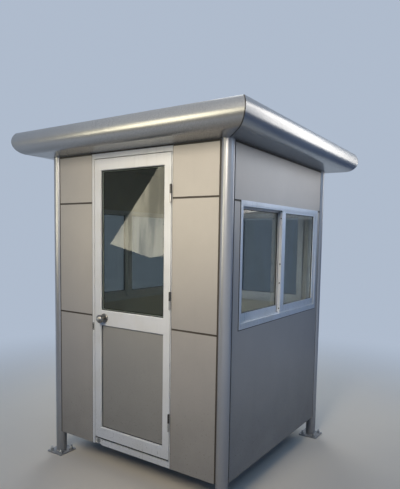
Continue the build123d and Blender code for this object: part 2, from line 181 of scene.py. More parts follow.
class BoothFinishes(bpy.types.PropertyGroup):
    """Colours of the booth's surfaces."""

    cladding: colour_property("Cladding", "Coated composite panels", (0.455, 0.42, 0.378))
    door_panel: colour_property("Door panel", "Coated panel below the door's glass", (0.35, 0.335, 0.305))
    roof: colour_property("Eaves", "Bent silver sheet of the eaves", (0.40, 0.40, 0.395))
    posts: colour_property("Posts", "Satin paint of the corner posts", (0.38, 0.385, 0.40))
    window_frames: colour_property("Window frames", "White powder coat", (0.88, 0.88, 0.88))
    door_frames: colour_property("Door", "Off-white powder coat of the door", (0.86, 0.87, 0.85))
    lining: colour_property("Lining", "Lining boards inside", (0.74, 0.68, 0.54))
    floor: colour_property("Floor board", "Sealed board", (0.19, 0.135, 0.09))
    primer: colour_property("Primer", "Dark primer of the floor frame", (0.045, 0.05, 0.055))
    steel: colour_property("Steel", "Bare hinge and screw steel", (0.52, 0.50, 0.47))
    zinc: colour_property("Zinc", "Dulled zinc plating of screws and bolts", (0.40, 0.415, 0.43))
    glass: colour_property("Glass", "Light grey tint of the panes", (0.375, 0.405, 0.40))
    seal: colour_property("Sealant", "Weather sealant in the panel joints", (0.070, 0.058, 0.045))
    rubber: colour_property("Gasket", "Glazing gasket", (0.022, 0.022, 0.024))
    # This dust colour also carries the painted shade near the foot of the coatings.
    dust: colour_property("Dust", "Dust on the lower parts", (0.185, 0.182, 0.158))


class BoothHardware(bpy.types.PropertyGroup):
    """Sizes of the fasteners, seals and small fittings."""

    anchor_diameter: length_property("Anchor", "Thread diameter of the anchor bolts", 0.016)
    anchor_stand: length_property("Anchor height", "Height of the anchor above its plate", 0.030)
    anchor_washer: length_property("Anchor washer", "Diameter of the washers", 0.038)
    anchor_spacing: length_property("Anchor spacing", "Distance between the holes of a plate", 0.100)
    plate_thickness: length_property("Plate", "Thickness of the foot plates", 0.008)
    weld_leg: length_property("Weld", "Leg of the weld round each post foot", 0.005)
    seal_depth: length_property("Seal depth", "How far the joint sealant lies below the sheets", 0.0012)
    flange_seal: length_property("Flange seal", "Width of the bead round the window flanges", 0.006)
    gasket_width: length_property("Gasket width", "Face width of the glazing gaskets", 0.0045)
    gasket_height: length_property("Gasket height", "How far the gaskets stand off the glass", 0.0036)
    frame_screw: length_property("Frame screw", "Head diameter of the window screws", 0.008)
    hinge_screw: length_property("Hinge screw", "Head diameter of the hinge screws", 0.0075)
    rivet: length_property("Rivet", "Head diameter of the roof rivets", 0.011)
    rivets: IntProperty(name="Rivets", description="Roof rivets along one side", default=9, min=2)
    rivet_inset: length_property("Rivet inset", "From the wall face to the roof rivets", 0.030)
    mitre_recess: length_property("Mitre recess", "How far the mitre sealant lies behind the noses", 0.0012)
    roof_lap: length_property("Roof lap", "How far the eaves sheet laps over the deck", 0.060)


class BoothSections(bpy.types.PropertyGroup):
    """Sections of the sashes, the door and the eaves that the small pieces follow."""

    sash_stile: length_property("Sash stile", "Outer stile of a sash", 0.036)
    meeting_stile: length_property("Meeting stile", "Stile where two sashes meet", 0.054)
    sash_bottom_rail: length_property("Sash bottom rail", "Bottom rail of a sash", 0.050)
    sash_top_rail: length_property("Sash top rail", "Top rail of a sash", 0.020)
    pane: length_property("Pane", "Thickness of the glass and of the door's lower panel", 0.005)
    door_stile: length_property("Door stile", "Stiles of the door leaf", 0.056)
    door_top_rail: length_property("Door top rail", "Top rail of the door leaf", 0.075)
    door_middle_rail: length_property("Door middle rail", "Middle rail of the door leaf", 0.106)
    door_bottom_rail: length_property("Door bottom rail", "Bottom rail of the door leaf", 0.084)
    nose_radius: length_property("Nose radius", "Outer radius of the eaves' round nose", 0.088)
    nose_rise: length_property("Nose rise", "Rise of the soffit to the nose", 0.011)
    nose_cut: angle_property("Nose cut", "Angle where the nose meets the flat top", 42.0)


class BoothStudio(bpy.types.PropertyGroup):
    """Camera and light."""

    camera_place: FloatVectorProperty(
        name="Camera", description="Place of the camera", default=(2.1563, -3.1110, 1.6315),
        subtype="TRANSLATION", unit="LENGTH", size=3,
    )
    camera_yaw: angle_property("Yaw", "Turn to the left", 34.077)
    camera_pitch: angle_property("Pitch", "Tilt up", -4.848)
    camera_roll: angle_property("Roll", "Lean", 0.896)
    lens: FloatProperty(name="Lens", description="Focal length in millimetres", default=35.95, unit="CAMERA")
    lens_shift: number_property("Shift", "Vertical lens shift", 0.0698)
    key_power: power_property("Key", "Warm light high in front", 17.5)
    top_power: power_property("Top", "Light overhead", 58.0)
    side_power: power_property("Side", "Cool light beside the booth", 3.5)
    back_power: power_property("Back", "Soft light behind", 44.0)
    room_power: power_property("Room", "Soft light inside, towards the back wall", 1.8)
    front_card: number_property("Front card", "Strength of the card that the front reflects", 6.0)
    side_card: number_property("Side card", "Strength of the card that the side eaves reflect", 4.4)
    sky_strength: number_property("Sky strength", "Strength of the ambient light", 0.26)
    sky: colour_property("Sky", "Ambient light", (0.26, 0.50, 1.0))
    backdrop: colour_property("Backdrop", "Background seen and reflected", (0.43, 0.50, 0.61))
    side_flag: colour_property("Side flag", "Dark flag that the right wall reflects", (0.035, 0.065, 0.16))
    front_flag: colour_property("Front flag", "Dark flag that the door's glass reflects", (0.05, 0.055, 0.06))
    ground: colour_property("Ground", "Pale studio floor", (0.88, 0.80, 0.66))
    ground_bounce: colour_property("Ground bounce", "Floor as it lights the booth", (0.20, 0.19, 0.19))


# Surfaces from arrays. A form is a tuple of points, quads and triangles.


def grid_quads(rows, columns, close_rows=False, close_columns=False):
    """Quads that join a grid of points, row by row; either way round may close on itself."""
    row = np.arange(rows if close_rows else rows - 1)[:, None]
    column = np.arange(columns if close_columns else columns - 1)[None, :]
    next_row = (row + 1) % rows
    next_column = (column + 1) % columns
    first = row * columns + column
    second = row * columns + next_column
    third = next_row * columns + next_column
    fourth = next_row * columns + column
    return np.stack([first, second, third, fourth], axis=-1).reshape(-1, 4)


def fan(pole, first, count):
    """Triangles from one point to each side of a closed ring of points."""
    here = np.arange(count)
    return np.stack([np.full(count, pole), here + first, (here + 1) % count + first], axis=-1)


def turned_out(points, quads, triangles):
    """A closed form with its faces outwards: where the sum of a . (b x c) over its triangles, six times
    its volume, is negative, every face is reversed."""
    split = np.vstack([quads[:, [0, 1, 2]], quads[:, [0, 2, 3]], triangles])
    first, second, third = (points[split[:, index]] for index in range(3))
    if np.einsum("ij,ij->", first, np.cross(second, third)) < 0:
        return points, quads[:, ::-1], triangles[:, ::-1]
    return points, quads, triangles


def stacked(rings):
    """A closed form from rings of points one above the other, with a pole in the middle of each end."""
    count, segments = rings.shape[:2]
    points = np.vstack([rings.reshape(-1, 3), rings[0].mean(axis=0), rings[-1].mean(axis=0)])
    low_pole, high_pole = len(points) - 2, len(points) - 1
    quads = grid_quads(count, segments, close_columns=True)
    low_fan = fan(low_pole, 0, segments)[:, ::-1]
    high_fan = fan(high_pole, (count - 1) * segments, segments)
    return turned_out(points, quads, np.vstack([low_fan, high_fan]))


def looped(rings):
    """A closed form from rings of points that follow each other all the way round."""
    quads = grid_quads(*rings.shape[:2], close_rows=True, close_columns=True)
    return turned_out(rings.reshape(-1, 3), quads, np.empty((0, 3), int))


def full_turn(segments):
    """Angles once round, in equal steps from zero."""
    return np.linspace(0.0, 2 * np.pi, segments, endpoint=False)


def ringed(radii, heights, turn):
    """A closed form of level rings: the point at angle t is (r cos t, r sin t, h)."""
    x = radii * np.cos(turn)
    return stacked(np.stack([x, radii * np.sin(turn), np.broadcast_to(heights, x.shape)], axis=-1))


def turned(radii, heights, segments=24):
    """A turned form, with one round ring for each pair of radius and height."""
    return ringed(np.array(radii, float)[:, None], np.array(heights, float)[:, None], full_turn(segments))


def hexagonal(across_flats, height, bevel, segments=48):
    """A nut or bolt head: the radius at angle t is the hexagon's, a / cos(t within 30 degrees of a flat),
    and near both faces it is held inside a cone that cuts the corners. The cone's limits are shares of
    half the width across the flats, from the hole's edge to past the corners."""
    flat, hole, chamfer, past_corners = across_flats / 2, 0.62, 0.97, 1.16
    turn = full_turn(segments)
    from_flat = np.mod(turn + np.pi / 6, np.pi / 3) - np.pi / 6
    heights = np.array([0.0, 0.0, bevel, height - bevel, height, height])[:, None]
    limits = flat * np.array([hole, chamfer, past_corners, past_corners, chamfer, hole])[:, None]
    return ringed(np.minimum(flat / np.cos(from_flat), limits), heights, turn)


def screw_head(diameter, rise, slots=2, segments=32, rings=9):
    """A domed head: height is rise (1 - (r/R)^2), less a recess as wide as a third of the radius
    along one slot or two, which ends at two thirds of the radius. A skirt closes it below its face."""
    outer = diameter / 2
    half_slot, slot_end, slot_depth, skirt_foot = outer * 0.16, outer * 0.66, 0.75 * rise, -0.3 * rise
    turn = full_turn(segments)
    radius = outer * np.linspace(1.0 / rings, 1.0, rings)[:, None]
    x, y = radius * np.cos(turn), radius * np.sin(turn)
    to_slot = np.minimum(np.abs(x), np.abs(y)) if slots == 2 else np.abs(y)
    recess = slot_depth * (to_slot < half_slot) * (radius < slot_end)
    dome = np.stack([x, y, rise * (1.0 - (radius / outer) ** 2) - recess], axis=-1)
    skirt = np.stack([x[-1], y[-1], np.full(segments, skirt_foot)], axis=-1)[None]
    return stacked(np.concatenate([dome, skirt]))


def plate(width, height, thickness, corner, bevel=0.0003, steps=6):
    """A flat plate with round corners: four quarter circles about the corner centres, carried up through
    the thickness and drawn in a little at the face."""
    quarter = np.linspace(0.0, np.pi / 2, steps)
    turn = (np.arange(4)[:, None] * np.pi / 2 + quarter).reshape(-1)
    side = np.repeat([[1, 1], [-1, 1], [-1, -1], [1, -1]], steps, axis=0)
    middle = side * [width / 2 - corner, height / 2 - corner]
    inset = np.array([0.0, 0.0, bevel])[:, None]
    x = middle[:, 0] + (corner - inset) * np.cos(turn)
    y = middle[:, 1] + (corner - inset) * np.sin(turn)
    z = np.broadcast_to(np.array([0.0, thickness - bevel, thickness])[:, None], x.shape)
    return stacked(np.stack([x, y, z], axis=-1))


def swept(path, across, outward, profile, closed=False):
    """A profile carried along straight runs: a path point p gives p + a across + b outward for each
    profile point (a, b), so a corner is mitred by its own across vector. A closed path joins its ends."""
    path = np.asarray(path, float)
    profile = np.asarray(profile, float)
    across = np.broadcast_to(np.asarray(across, float), path.shape)
    outward = np.broadcast_to(np.asarray(outward, float), path.shape)
    rings = path[:, None] + across[:, None] * profile[None, :, :1] + outward[:, None] * profile[None, :, 1:]
    return looped(rings) if closed else stacked(rings)


def framed(origin, right, up, outward, box, profile, sides="all"):
    """A profile carried round a rectangle: the corner (u, v) gives origin + u right + v up, and a profile
    point (a, b) goes a inwards along both sides and b outwards, so every corner is mitred. The sides are
    all four, or "no top" or "no bottom", where the two ends are cut square."""
    left, far, bottom, top = box
    spots = np.array([[left, top], [left, bottom], [far, bottom], [far, top]])
    inward = np.array([[1, -1], [1, 1], [-1, 1], [-1, -1]])
    if sides == "no top":
        inward = inward * [[1, 0], [1, 1], [1, 1], [1, 0]]
    if sides == "no bottom":
        spots = np.roll(spots, -2, axis=0)
        inward = np.array([[-1, 0], [-1, -1], [1, -1], [1, 0]])
    path = np.asarray(origin, float) + spots[:, :1] * right + spots[:, 1:] * up
    across = inward[:, :1] * right + inward[:, 1:] * up
    return swept(path, across, outward, profile, closed=sides == "all")


def placed(form, places, turns=None):
    """Copies of a form at many places: every copy's points are turned by its matrix and shifted."""
    points, quads, triangles = form
    places = np.asarray(places, float).reshape(-1, 3)
    count = len(places)
    turns = np.eye(3) if turns is None else np.asarray(turns, float)
    turns = np.broadcast_to(turns.reshape(-1, 3, 3), (count, 3, 3))
    shifted = np.einsum("nij,pj->npi", turns, points) + places[:, None, :]
    step = np.arange(count)[:, None, None] * len(points)
    return shifted.reshape(-1, 3), (quads + step).reshape(-1, 4), (triangles + step).reshape(-1, 3)


def joined(*forms):
    """Several forms as one."""
    starts = np.cumsum([0] + [len(form[0]) for form in forms[:-1]])
    points = np.vstack([form[0] for form in forms])
    quads = np.vstack([form[1] + start for form, start in zip(forms, starts)])
    triangles = np.vstack([form[2] + start for form, start in zip(forms, starts)])
    return points, quads, triangles


def facing(direction):
    """A matrix that turns a form's +Z to a direction, with its +Y as near upright as it can be."""
    outward = np.asarray(direction, float)
    upright = UP if abs(outward @ UP) < 0.99 else np.array([0.0, 1.0, 0.0])
    side = np.cross(upright, outward)
    side /= np.linalg.norm(side)
    return np.stack([side, np.cross(outward, side), outward], axis=1)


def new_mesh(name, points, faces, material):
    """A mesh with one material."""
    mesh = bpy.data.meshes.new(name)
    mesh.from_pydata(points, [], faces)
    mesh.materials.append(material)
    return mesh


def linked(name, data):
    """A new object in the scene, for a mesh, a lamp or a camera."""
    made = bpy.data.objects.new(name, data)
    bpy.context.scene.collection.objects.link(made)
    return made


def new_piece(name, form, material_name, body, sharp=35.0):
    """A mesh object from arrays, with its place in its mesh, riding on a CAD body. Edges that turn by more
    than the sharp angle, in degrees, stay crisp."""
    points, quads, triangles = form
    faces = quads.tolist() + triangles.tolist()
    mesh = new_mesh(name, points.tolist(), faces, bpy.data.materials[material_name])
    mesh.polygons.foreach_set("use_smooth", np.ones(len(faces), bool))
    mesh.set_sharp_from_angle(angle=math.radians(sharp))
    mesh.update()
    if mesh.validate():
        raise RuntimeError(f"{name} has broken faces")
    piece = linked(name, mesh)
    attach(piece, body)


# Shared effects as node groups


class Tree:
    """Short words for adding and joining nodes."""

    def __init__(self, tree):
        self.tree = tree

    def node(self, kind, inputs=None, **settings):
        """A node with its settings, and its inputs fed by name or by number."""
        made = self.tree.nodes.new(kind)
        for key, value in settings.items():
            setattr(made, key, value)
        for key, value in (inputs or {}).items():
            self.feed(made.inputs[key], value)
        return made

    def feed(self, socket, value):
        """Joins an output to the socket, or sets a plain value on it."""
        if isinstance(value, bpy.types.NodeSocket):
            self.tree.links.new(value, socket)
        elif isinstance(value, bpy.types.Node):
            self.tree.links.new(value.outputs[0], socket)
        else:
            socket.default_value = value

    def maths(self, operation, first, second=0.0):
        return self.node("ShaderNodeMath", {0: first, 1: second}, operation=operation).outputs[0]

    def plus(self, first, second):
        return self.maths("ADD", first, second)

    def times(self, first, second):
        return self.maths("MULTIPLY", first, second)

    def ramp(self, value, low, high, to_low=0.0, to_high=1.0):
        """A value carried from one range to another along an S curve."""
        made = self.node("ShaderNodeMapRange", {0: value, 1: low, 2: high, 3: to_low, 4: to_high})
        made.interpolation_type = "SMOOTHSTEP"
        return made.outputs[0]

    def mix(self, factor, first, second):
        """Two colours mixed, by the colour sockets of a Mix node."""
        return self.node("ShaderNodeMix", {0: factor, 6: first, 7: second}, data_type="RGBA").outputs[2]

    def mix_shaders(self, factor, first, second):
        return self.node("ShaderNodeMixShader", {0: factor, 1: first, 2: second}).outputs[0]

    def noise(self, vector, scale, detail=2.0, roughness=0.5):
        inputs = {"Vector": vector, "Scale": scale, "Detail": detail, "Roughness": roughness}
        return self.node("ShaderNodeTexNoise", inputs).outputs["Fac"]

    def cells(self, vector, scale):
        """A random share for each cell of a Voronoi pattern."""
        colours = self.node("ShaderNodeTexVoronoi", {"Vector": vector, "Scale": scale}).outputs["Color"]
        return self.node("ShaderNodeSeparateColor", {0: colours}).outputs[0]

    def stretched(self, vector, scale):
        """The coordinates scaled along each axis: a small share draws grain or streaks out along it."""
        return self.node("ShaderNodeMapping", {"Vector": vector, "Scale": scale}).outputs[0]

    def show(self, shader):
        """Joins a shader to the material's output."""
        self.feed(self.tree.nodes["Material Output"].inputs["Surface"], shader)


class Group:
    """A new shader node group: its tree, its incoming sockets by name, and its outgoing ones."""

    def __init__(self, name, numbers, outputs=("Mask",)):
        self.group = bpy.data.node_groups.new(name, "ShaderNodeTree")
        sockets = self.group.interface
        sockets.new_socket("Vector", in_out="INPUT", socket_type="NodeSocketVector")
        for socket_name, default in numbers.items():
            made = sockets.new_socket(socket_name, in_out="INPUT", socket_type="NodeSocketFloat")
            made.default_value = default
        for socket_name in outputs:
            sockets.new_socket(socket_name, in_out="OUTPUT", socket_type="NodeSocketFloat")
        self.tree = Tree(self.group)
        self.given = self.tree.node("NodeGroupInput").outputs
        self.ends = self.tree.node("NodeGroupOutput").inputs

    def put_out(self, **values):
        for name, value in values.items():
            self.tree.feed(self.ends[name], value)
        return self.group


def make_flake_group():
    """Metallic flake: fine cells whose brightness differs, and the slow cloudiness of a sprayed coating."""
    made = Group("Metallic flake", {"Size": 900.0}, ("Sparkle", "Cloud"))
    tree, given = made.tree, made.given
    sparkle = tree.cells(given["Vector"], given["Size"])
    return made.put_out(Sparkle=sparkle, Cloud=tree.noise(given["Vector"], 3.1, 4.0, 0.55))


def make_waviness_group():
    """Oil canning: the slow shallow swells of a thin flat sheet, as a height."""
    made = Group("Sheet waviness", {"Scale": 2.2}, ("Height",))
    return made.put_out(Height=made.tree.noise(made.given["Vector"], made.given["Scale"], 1.0, 0.4))


def make_grime_and_shade_group():
    """Ground grime and painted shade, thick at the foot and broken by noise higher up."""
    made = Group("Ground grime and shade", {"Bottom": 0.15, "Reach": 0.5}, ("Mask", "Speckle"))
    tree, given = made.tree, made.given
    height = tree.node("ShaderNodeSeparateXYZ", {0: given["Vector"]}).outputs[2]
    share = tree.maths("DIVIDE", tree.maths("SUBTRACT", height, given["Bottom"]), given["Reach"])
    falling = tree.ramp(share, 0.0, 1.0, to_low=1.0, to_high=0.0)
    broken = tree.ramp(tree.noise(given["Vector"], 5.0, 4.0, 0.5), 0.2, 0.75, to_low=0.65)
    # The mask darkens towards the foot: part dust, part painted shade near the ground.
    mask = tree.times(tree.maths("POWER", falling, 1.6), broken)
    spots = tree.ramp(tree.noise(given["Vector"], 85.0, 3.0, 0.6), 0.60, 0.72)
    return made.put_out(Mask=mask, Speckle=tree.times(spots, falling))


def make_streak_group():
    """Rain streaks: noise drawn out along the height, kept to broad patches."""
    made = Group("Rain streaks", {"Fineness": 26.0})
    tree, given = made.tree, made.given
    runs = tree.noise(tree.stretched(given["Vector"], (1.0, 1.0, 0.045)), given["Fineness"], 4.0, 0.6)
    patches = tree.noise(given["Vector"], 2.4, 2.0, 0.5)
    return made.put_out(Mask=tree.times(tree.ramp(runs, 0.5, 0.74), tree.ramp(patches, 0.35, 0.65)))


def make_grain_group():
    """Brushed grain: fine lines along one axis, given by how the coordinates are stretched."""
    made = Group("Brushed grain", {"Fineness": 700.0}, ("Height",))
    return made.put_out(Height=made.tree.noise(made.given["Vector"], made.given["Fineness"], 2.0, 0.6))


def make_peel_group():
    """Orange peel: the fine even pimpling of powder coat, as a height, with slow toning."""
    made = Group("Orange peel", {"Scale": 420.0}, ("Height", "Tone"))
    fine = made.tree.noise(made.given["Vector"], made.given["Scale"], 1.0, 0.5)
    return made.put_out(Height=fine, Tone=made.tree.noise(made.given["Vector"], 5.0, 4.0, 0.6))


def make_mitre_group():
    """Mitre smear: sealant wiped along the four mitres, where |x| equals |y| on the level roof, its edge
    a little uneven."""
    made = Group("Mitre smear", {"Half Width": 0.0045})
    tree, given = made.tree, made.given
    centre = (0.0, FRONT_Y, WALL_TOP)
    level = tree.node("ShaderNodeVectorRotate", {"Vector": given["Vector"], "Center": centre, "Angle": FALL})
    level.rotation_type = "X_AXIS"
    parts = tree.node("ShaderNodeSeparateXYZ", {0: level}).outputs
    away = tree.maths("SUBTRACT", tree.maths("ABSOLUTE", parts[0]), tree.maths("ABSOLUTE", parts[1]))
    uneven = tree.times(tree.noise(given["Vector"], 60.0, 3.0, 0.6), 0.005)
    distance = tree.plus(tree.maths("ABSOLUTE", away), uneven)
    share = tree.maths("DIVIDE", distance, given["Half Width"])
    return made.put_out(Mask=tree.ramp(share, 1.3, 1.7, to_low=1.0, to_high=0.0))


# Materials


def darker(colour, share):
    """A colour made darker or lighter by a share."""
    return tuple(min(1.0, channel * share) for channel in colour)


def opaque(colour, share=1.0):
    """A colour as a shader takes it, made darker or lighter by a share."""
    return (*darker(colour, share), 1.0)


def new_material(name):
    """A material with its nodes, and the short words for them."""
    material = bpy.data.materials.new(name)
    material.use_nodes = True
    return material, Tree(material.node_tree)


class Finish:
    """A material with its Principled shader, its coordinates and the shared groups ready to place."""

    groups = {}

    def __init__(self, name, **constants):
        self.material, self.tree = new_material(name)
        self.shader = self.material.node_tree.nodes["Principled BSDF"]
        self.place = self.tree.node("ShaderNodeTexCoord").outputs["Object"]
        for key, value in constants.items():
            self.shader.inputs[key.replace("_", " ").title().replace("Ior", "IOR")].default_value = value

    def group(self, name, vector=None, **numbers):
        """The outputs of a shared group, with this material's own values."""
        made = self.tree.node("ShaderNodeGroup", node_tree=Finish.groups[name])
        self.tree.feed(made.inputs["Vector"], vector or self.place)
        for key, value in numbers.items():
            self.tree.feed(made.inputs[key.title()], value)
        return made.outputs

    def laid(self, below, mask, above, share):
        """A colour laid over another where a mask is, and no thicker than a share."""
        return self.tree.mix(self.tree.times(mask, share), below, above)

    def set(self, socket, value):
        self.tree.feed(self.shader.inputs[socket], value)

    def bump(self, *layers):
        """Bumps on top of each other, each a height, a distance in metres and a strength."""
        normal = None
        for height, distance, strength in layers:
            inputs = {"Height": height, "Distance": distance, "Strength": strength}
            if normal is not None:
                inputs["Normal"] = normal
            normal = self.tree.node("ShaderNodeBump", inputs).outputs[0]
        self.set("Normal", normal)


def silver_coating(name, base, dust, grime_and_shade_bottom, grime_and_shade_reach, metallic, roughness, wave, smear=None):
    """Satin silver coating on sheet or tube: flake, slow cloudiness, waviness, streaks, and ground dust with
    painted shade.
    A smear colour adds sealant wiped along the mitres."""
    finish = Finish(name, metallic=metallic, specular_ior_level=0.28)
    tree = finish.tree
    flake = finish.group("flake", size=1100.0)
    streaks = finish.group("streaks")
    grime_and_shade = finish.group("grime_and_shade", bottom=grime_and_shade_bottom, reach=grime_and_shade_reach)
    coated = tree.mix(tree.ramp(flake["Cloud"], 0.3, 0.7), opaque(base, 0.97), opaque(base, 1.03))
    coated = finish.laid(coated, flake["Sparkle"], (0.9, 0.9, 0.88, 1.0), share=0.10)
    coated = finish.laid(coated, streaks["Mask"], opaque(dust), share=0.04)
    # Darker towards the foot: part dust, part painted shade near the ground.
    coated = finish.laid(coated, grime_and_shade["Mask"], opaque(dust), share=0.45)
    coated = finish.laid(coated, grime_and_shade["Speckle"], opaque(dust, 0.6), share=0.4)
    rough = tree.plus(roughness, tree.times(grime_and_shade["Mask"], 0.3))
    rough = tree.plus(rough, tree.times(flake["Sparkle"], 0.05))
    if smear is not None:
        mask = finish.group("mitre")["Mask"]
        coated = tree.mix(mask, coated, opaque(smear))
        rough = tree.maths("MAXIMUM", rough, tree.times(mask, 0.6))
        finish.set("Metallic", tree.times(tree.maths("SUBTRACT", 1.0, mask), metallic))
    finish.set("Base Color", coated)
    finish.set("Roughness", rough)
    swells = finish.group("waviness", scale=wave)["Height"]
    finish.bump((swells, 0.006, 0.35), (flake["Sparkle"], 0.00004, 0.25))
    return finish.material


def powder_coat(name, base, dust, grime_and_shade_bottom, grime_and_shade_reach, grime_and_shade_share):
    """White powder coat: orange peel, slight yellowing, rain streaks, and dust with painted shade near the ground.
    """
    finish = Finish(name, coat_weight=0.08, coat_roughness=0.25)
    tree = finish.tree
    peel = finish.group("peel")
    streaks = finish.group("streaks", fineness=60.0)
    grime_and_shade = finish.group("grime_and_shade", bottom=grime_and_shade_bottom, reach=grime_and_shade_reach)
    yellowed = (base[0] * 0.95, base[1] * 0.94, base[2] * 0.91)
    coated = tree.mix(tree.ramp(peel["Tone"], 0.35, 0.7), opaque(base), opaque(yellowed))
    coated = finish.laid(coated, streaks["Mask"], opaque(dust), share=0.12)
    # Darker towards the foot: part dust, part painted shade near the ground.
    coated = finish.laid(coated, grime_and_shade["Mask"], opaque(dust), share=grime_and_shade_share)
    coated = finish.laid(coated, grime_and_shade["Speckle"], opaque(dust, 0.6), share=0.5)
    finish.set("Base Color", coated)
    finish.set("Roughness", tree.ramp(peel["Tone"], 0.2, 0.8, to_low=0.32, to_high=0.46))
    finish.bump((peel["Height"], 0.00008, 0.5))
    return finish.material


def bare_steel(name, base, roughness, grain, stain=0.35):
    """Dull plated steel: brushed lines along the axis whose grain is small, and dark staining."""
    finish = Finish(name, metallic=1.0)
    tree = finish.tree
    lines = finish.group("grain", vector=tree.stretched(finish.place, grain))
    stains = tree.noise(finish.place, 70.0, 5.0, 0.65)
    stained = finish.laid(opaque(base), tree.ramp(stains, 0.42, 0.7), opaque(base, 0.42), share=stain)
    finish.set("Base Color", stained)
    finish.set("Roughness", tree.ramp(stains, 0.3, 0.75, to_low=roughness, to_high=roughness + 0.22))
    finish.bump((lines["Height"], 0.00005, 0.4))
    return finish.material


def dark_rubber(name, base, dust, roughness):
    """Sealant or gasket: nearly black, a little dusty, finely uneven."""
    finish = Finish(name, roughness=roughness, specular_ior_level=0.3)
    tree = finish.tree
    peel = finish.group("peel", scale=260.0)
    dusted = tree.ramp(peel["Tone"], 0.45, 0.8, to_high=0.12)
    finish.set("Base Color", tree.mix(dusted, opaque(base), opaque(dust)))
    finish.bump((peel["Height"], 0.0003, 0.4))
    return finish.material


def lining_board(name, base, dust):
    """Smooth lining sheet: slight clouding, a few scuffs, faint vertical grain."""
    finish = Finish(name, coat_weight=0.05)
    tree = finish.tree
    flake = finish.group("flake", size=500.0)
    upright = tree.stretched(finish.place, (0.4, 0.4, 0.02))
    scuffs = finish.group("grain", vector=upright, fineness=120.0)["Height"]
    clouded = tree.mix(tree.ramp(flake["Cloud"], 0.3, 0.75), opaque(base), opaque(base, 0.88))
    scuffed = tree.ramp(scuffs, 0.6, 0.8, to_high=0.25)
    finish.set("Base Color", tree.mix(scuffed, clouded, opaque(dust)))
    finish.set("Roughness", tree.ramp(flake["Cloud"], 0.2, 0.8, to_low=0.42, to_high=0.58))
    finish.bump((scuffs, 0.0001, 0.3))
    return finish.material


def floor_board(name, base, dust):
    """Sealed board: long grain, darker rings, dust trodden in."""
    finish = Finish(name, coat_weight=0.15, coat_roughness=0.4)
    tree = finish.tree
    rings = tree.noise(tree.stretched(finish.place, (6.0, 0.5, 1.0)), 4.0, 8.0, 0.62)
    fine = finish.group("grain", vector=tree.stretched(finish.place, (1.0, 0.04, 1.0)), fineness=300.0)
    grained = tree.mix(tree.ramp(rings, 0.35, 0.65), opaque(base), opaque(base, 0.5))
    trodden = tree.ramp(tree.noise(finish.place, 3.0, 5.0, 0.6), 0.4, 0.75, to_low=0.05, to_high=0.5)
    finish.set("Base Color", tree.mix(trodden, grained, opaque(dust)))
    finish.set("Roughness", tree.ramp(rings, 0.2, 0.8, to_low=0.42, to_high=0.62))
    finish.bump((fine["Height"], 0.0002, 0.4))
    return finish.material


def primed_steel(name, base, dust):
    """Dark primer on the floor frame, dusty on top and with rust at scattered chips."""
    finish = Finish(name)
    tree = finish.tree
    rust = (0.14, 0.055, 0.025, 1.0)
    peel = finish.group("peel", scale=300.0)
    chips = tree.ramp(tree.noise(finish.place, 24.0, 7.0, 0.7), 0.60, 0.68)
    dusted = tree.ramp(peel["Tone"], 0.35, 0.8, to_low=0.05, to_high=0.5)
    finish.set("Base Color", tree.mix(chips, tree.mix(dusted, opaque(base), opaque(dust)), rust))
    finish.set("Roughness", tree.ramp(peel["Tone"], 0.2, 0.8, to_low=0.55, to_high=0.8))
    finish.bump((peel["Height"], 0.0002, 0.5), (chips, 0.0002, 0.5))
    return finish.material


def galvanised(name, dust):
    """Galvanised deck sheet: zinc spangle of differing greys, dulled and dusty."""
    finish = Finish(name, metallic=0.8)
    tree = finish.tree
    grains = tree.cells(finish.place, 55.0)
    spangle = tree.mix(grains, (0.46, 0.47, 0.48, 1.0), (0.60, 0.61, 0.62, 1.0))
    puddles = tree.ramp(tree.noise(finish.place, 3.2, 6.0, 0.6), 0.45, 0.7, to_low=0.1, to_high=0.65)
    finish.set("Base Color", tree.mix(puddles, spangle, opaque(dust)))
    finish.set("Roughness", tree.ramp(grains, 0.0, 1.0, to_low=0.38, to_high=0.6))
    finish.bump((finish.group("waviness", scale=3.0)["Height"], 0.004, 0.4))
    return finish.material


def tinted_glass(name, tint):
    """Lightly tinted float glass, faintly uneven, with a thin film of dust that shows as a haze. It lets
    lamps light the room: for shadow rays it is plainly see-through in its tint."""
    finish = Finish(name, ior=1.46, transmission_weight=1.0, metallic=0.0)
    tree = finish.tree
    film = tree.noise(finish.place, 6.0, 6.0, 0.6)
    finish.set("Base Color", tree.mix(tree.ramp(film, 0.4, 0.75), opaque(tint), opaque(tint, 0.93)))
    finish.set("Roughness", tree.ramp(film, 0.35, 0.8, to_high=0.05))
    finish.bump((finish.group("waviness", scale=2.0)["Height"], 0.002, 0.12))
    clear = tree.node("ShaderNodeBsdfTransparent", {"Color": opaque(tint, 1.6)})
    shadow = tree.node("ShaderNodeLightPath").outputs["Is Shadow Ray"]
    tree.show(tree.mix_shaders(shadow, finish.shader, clear))
    return finish.material


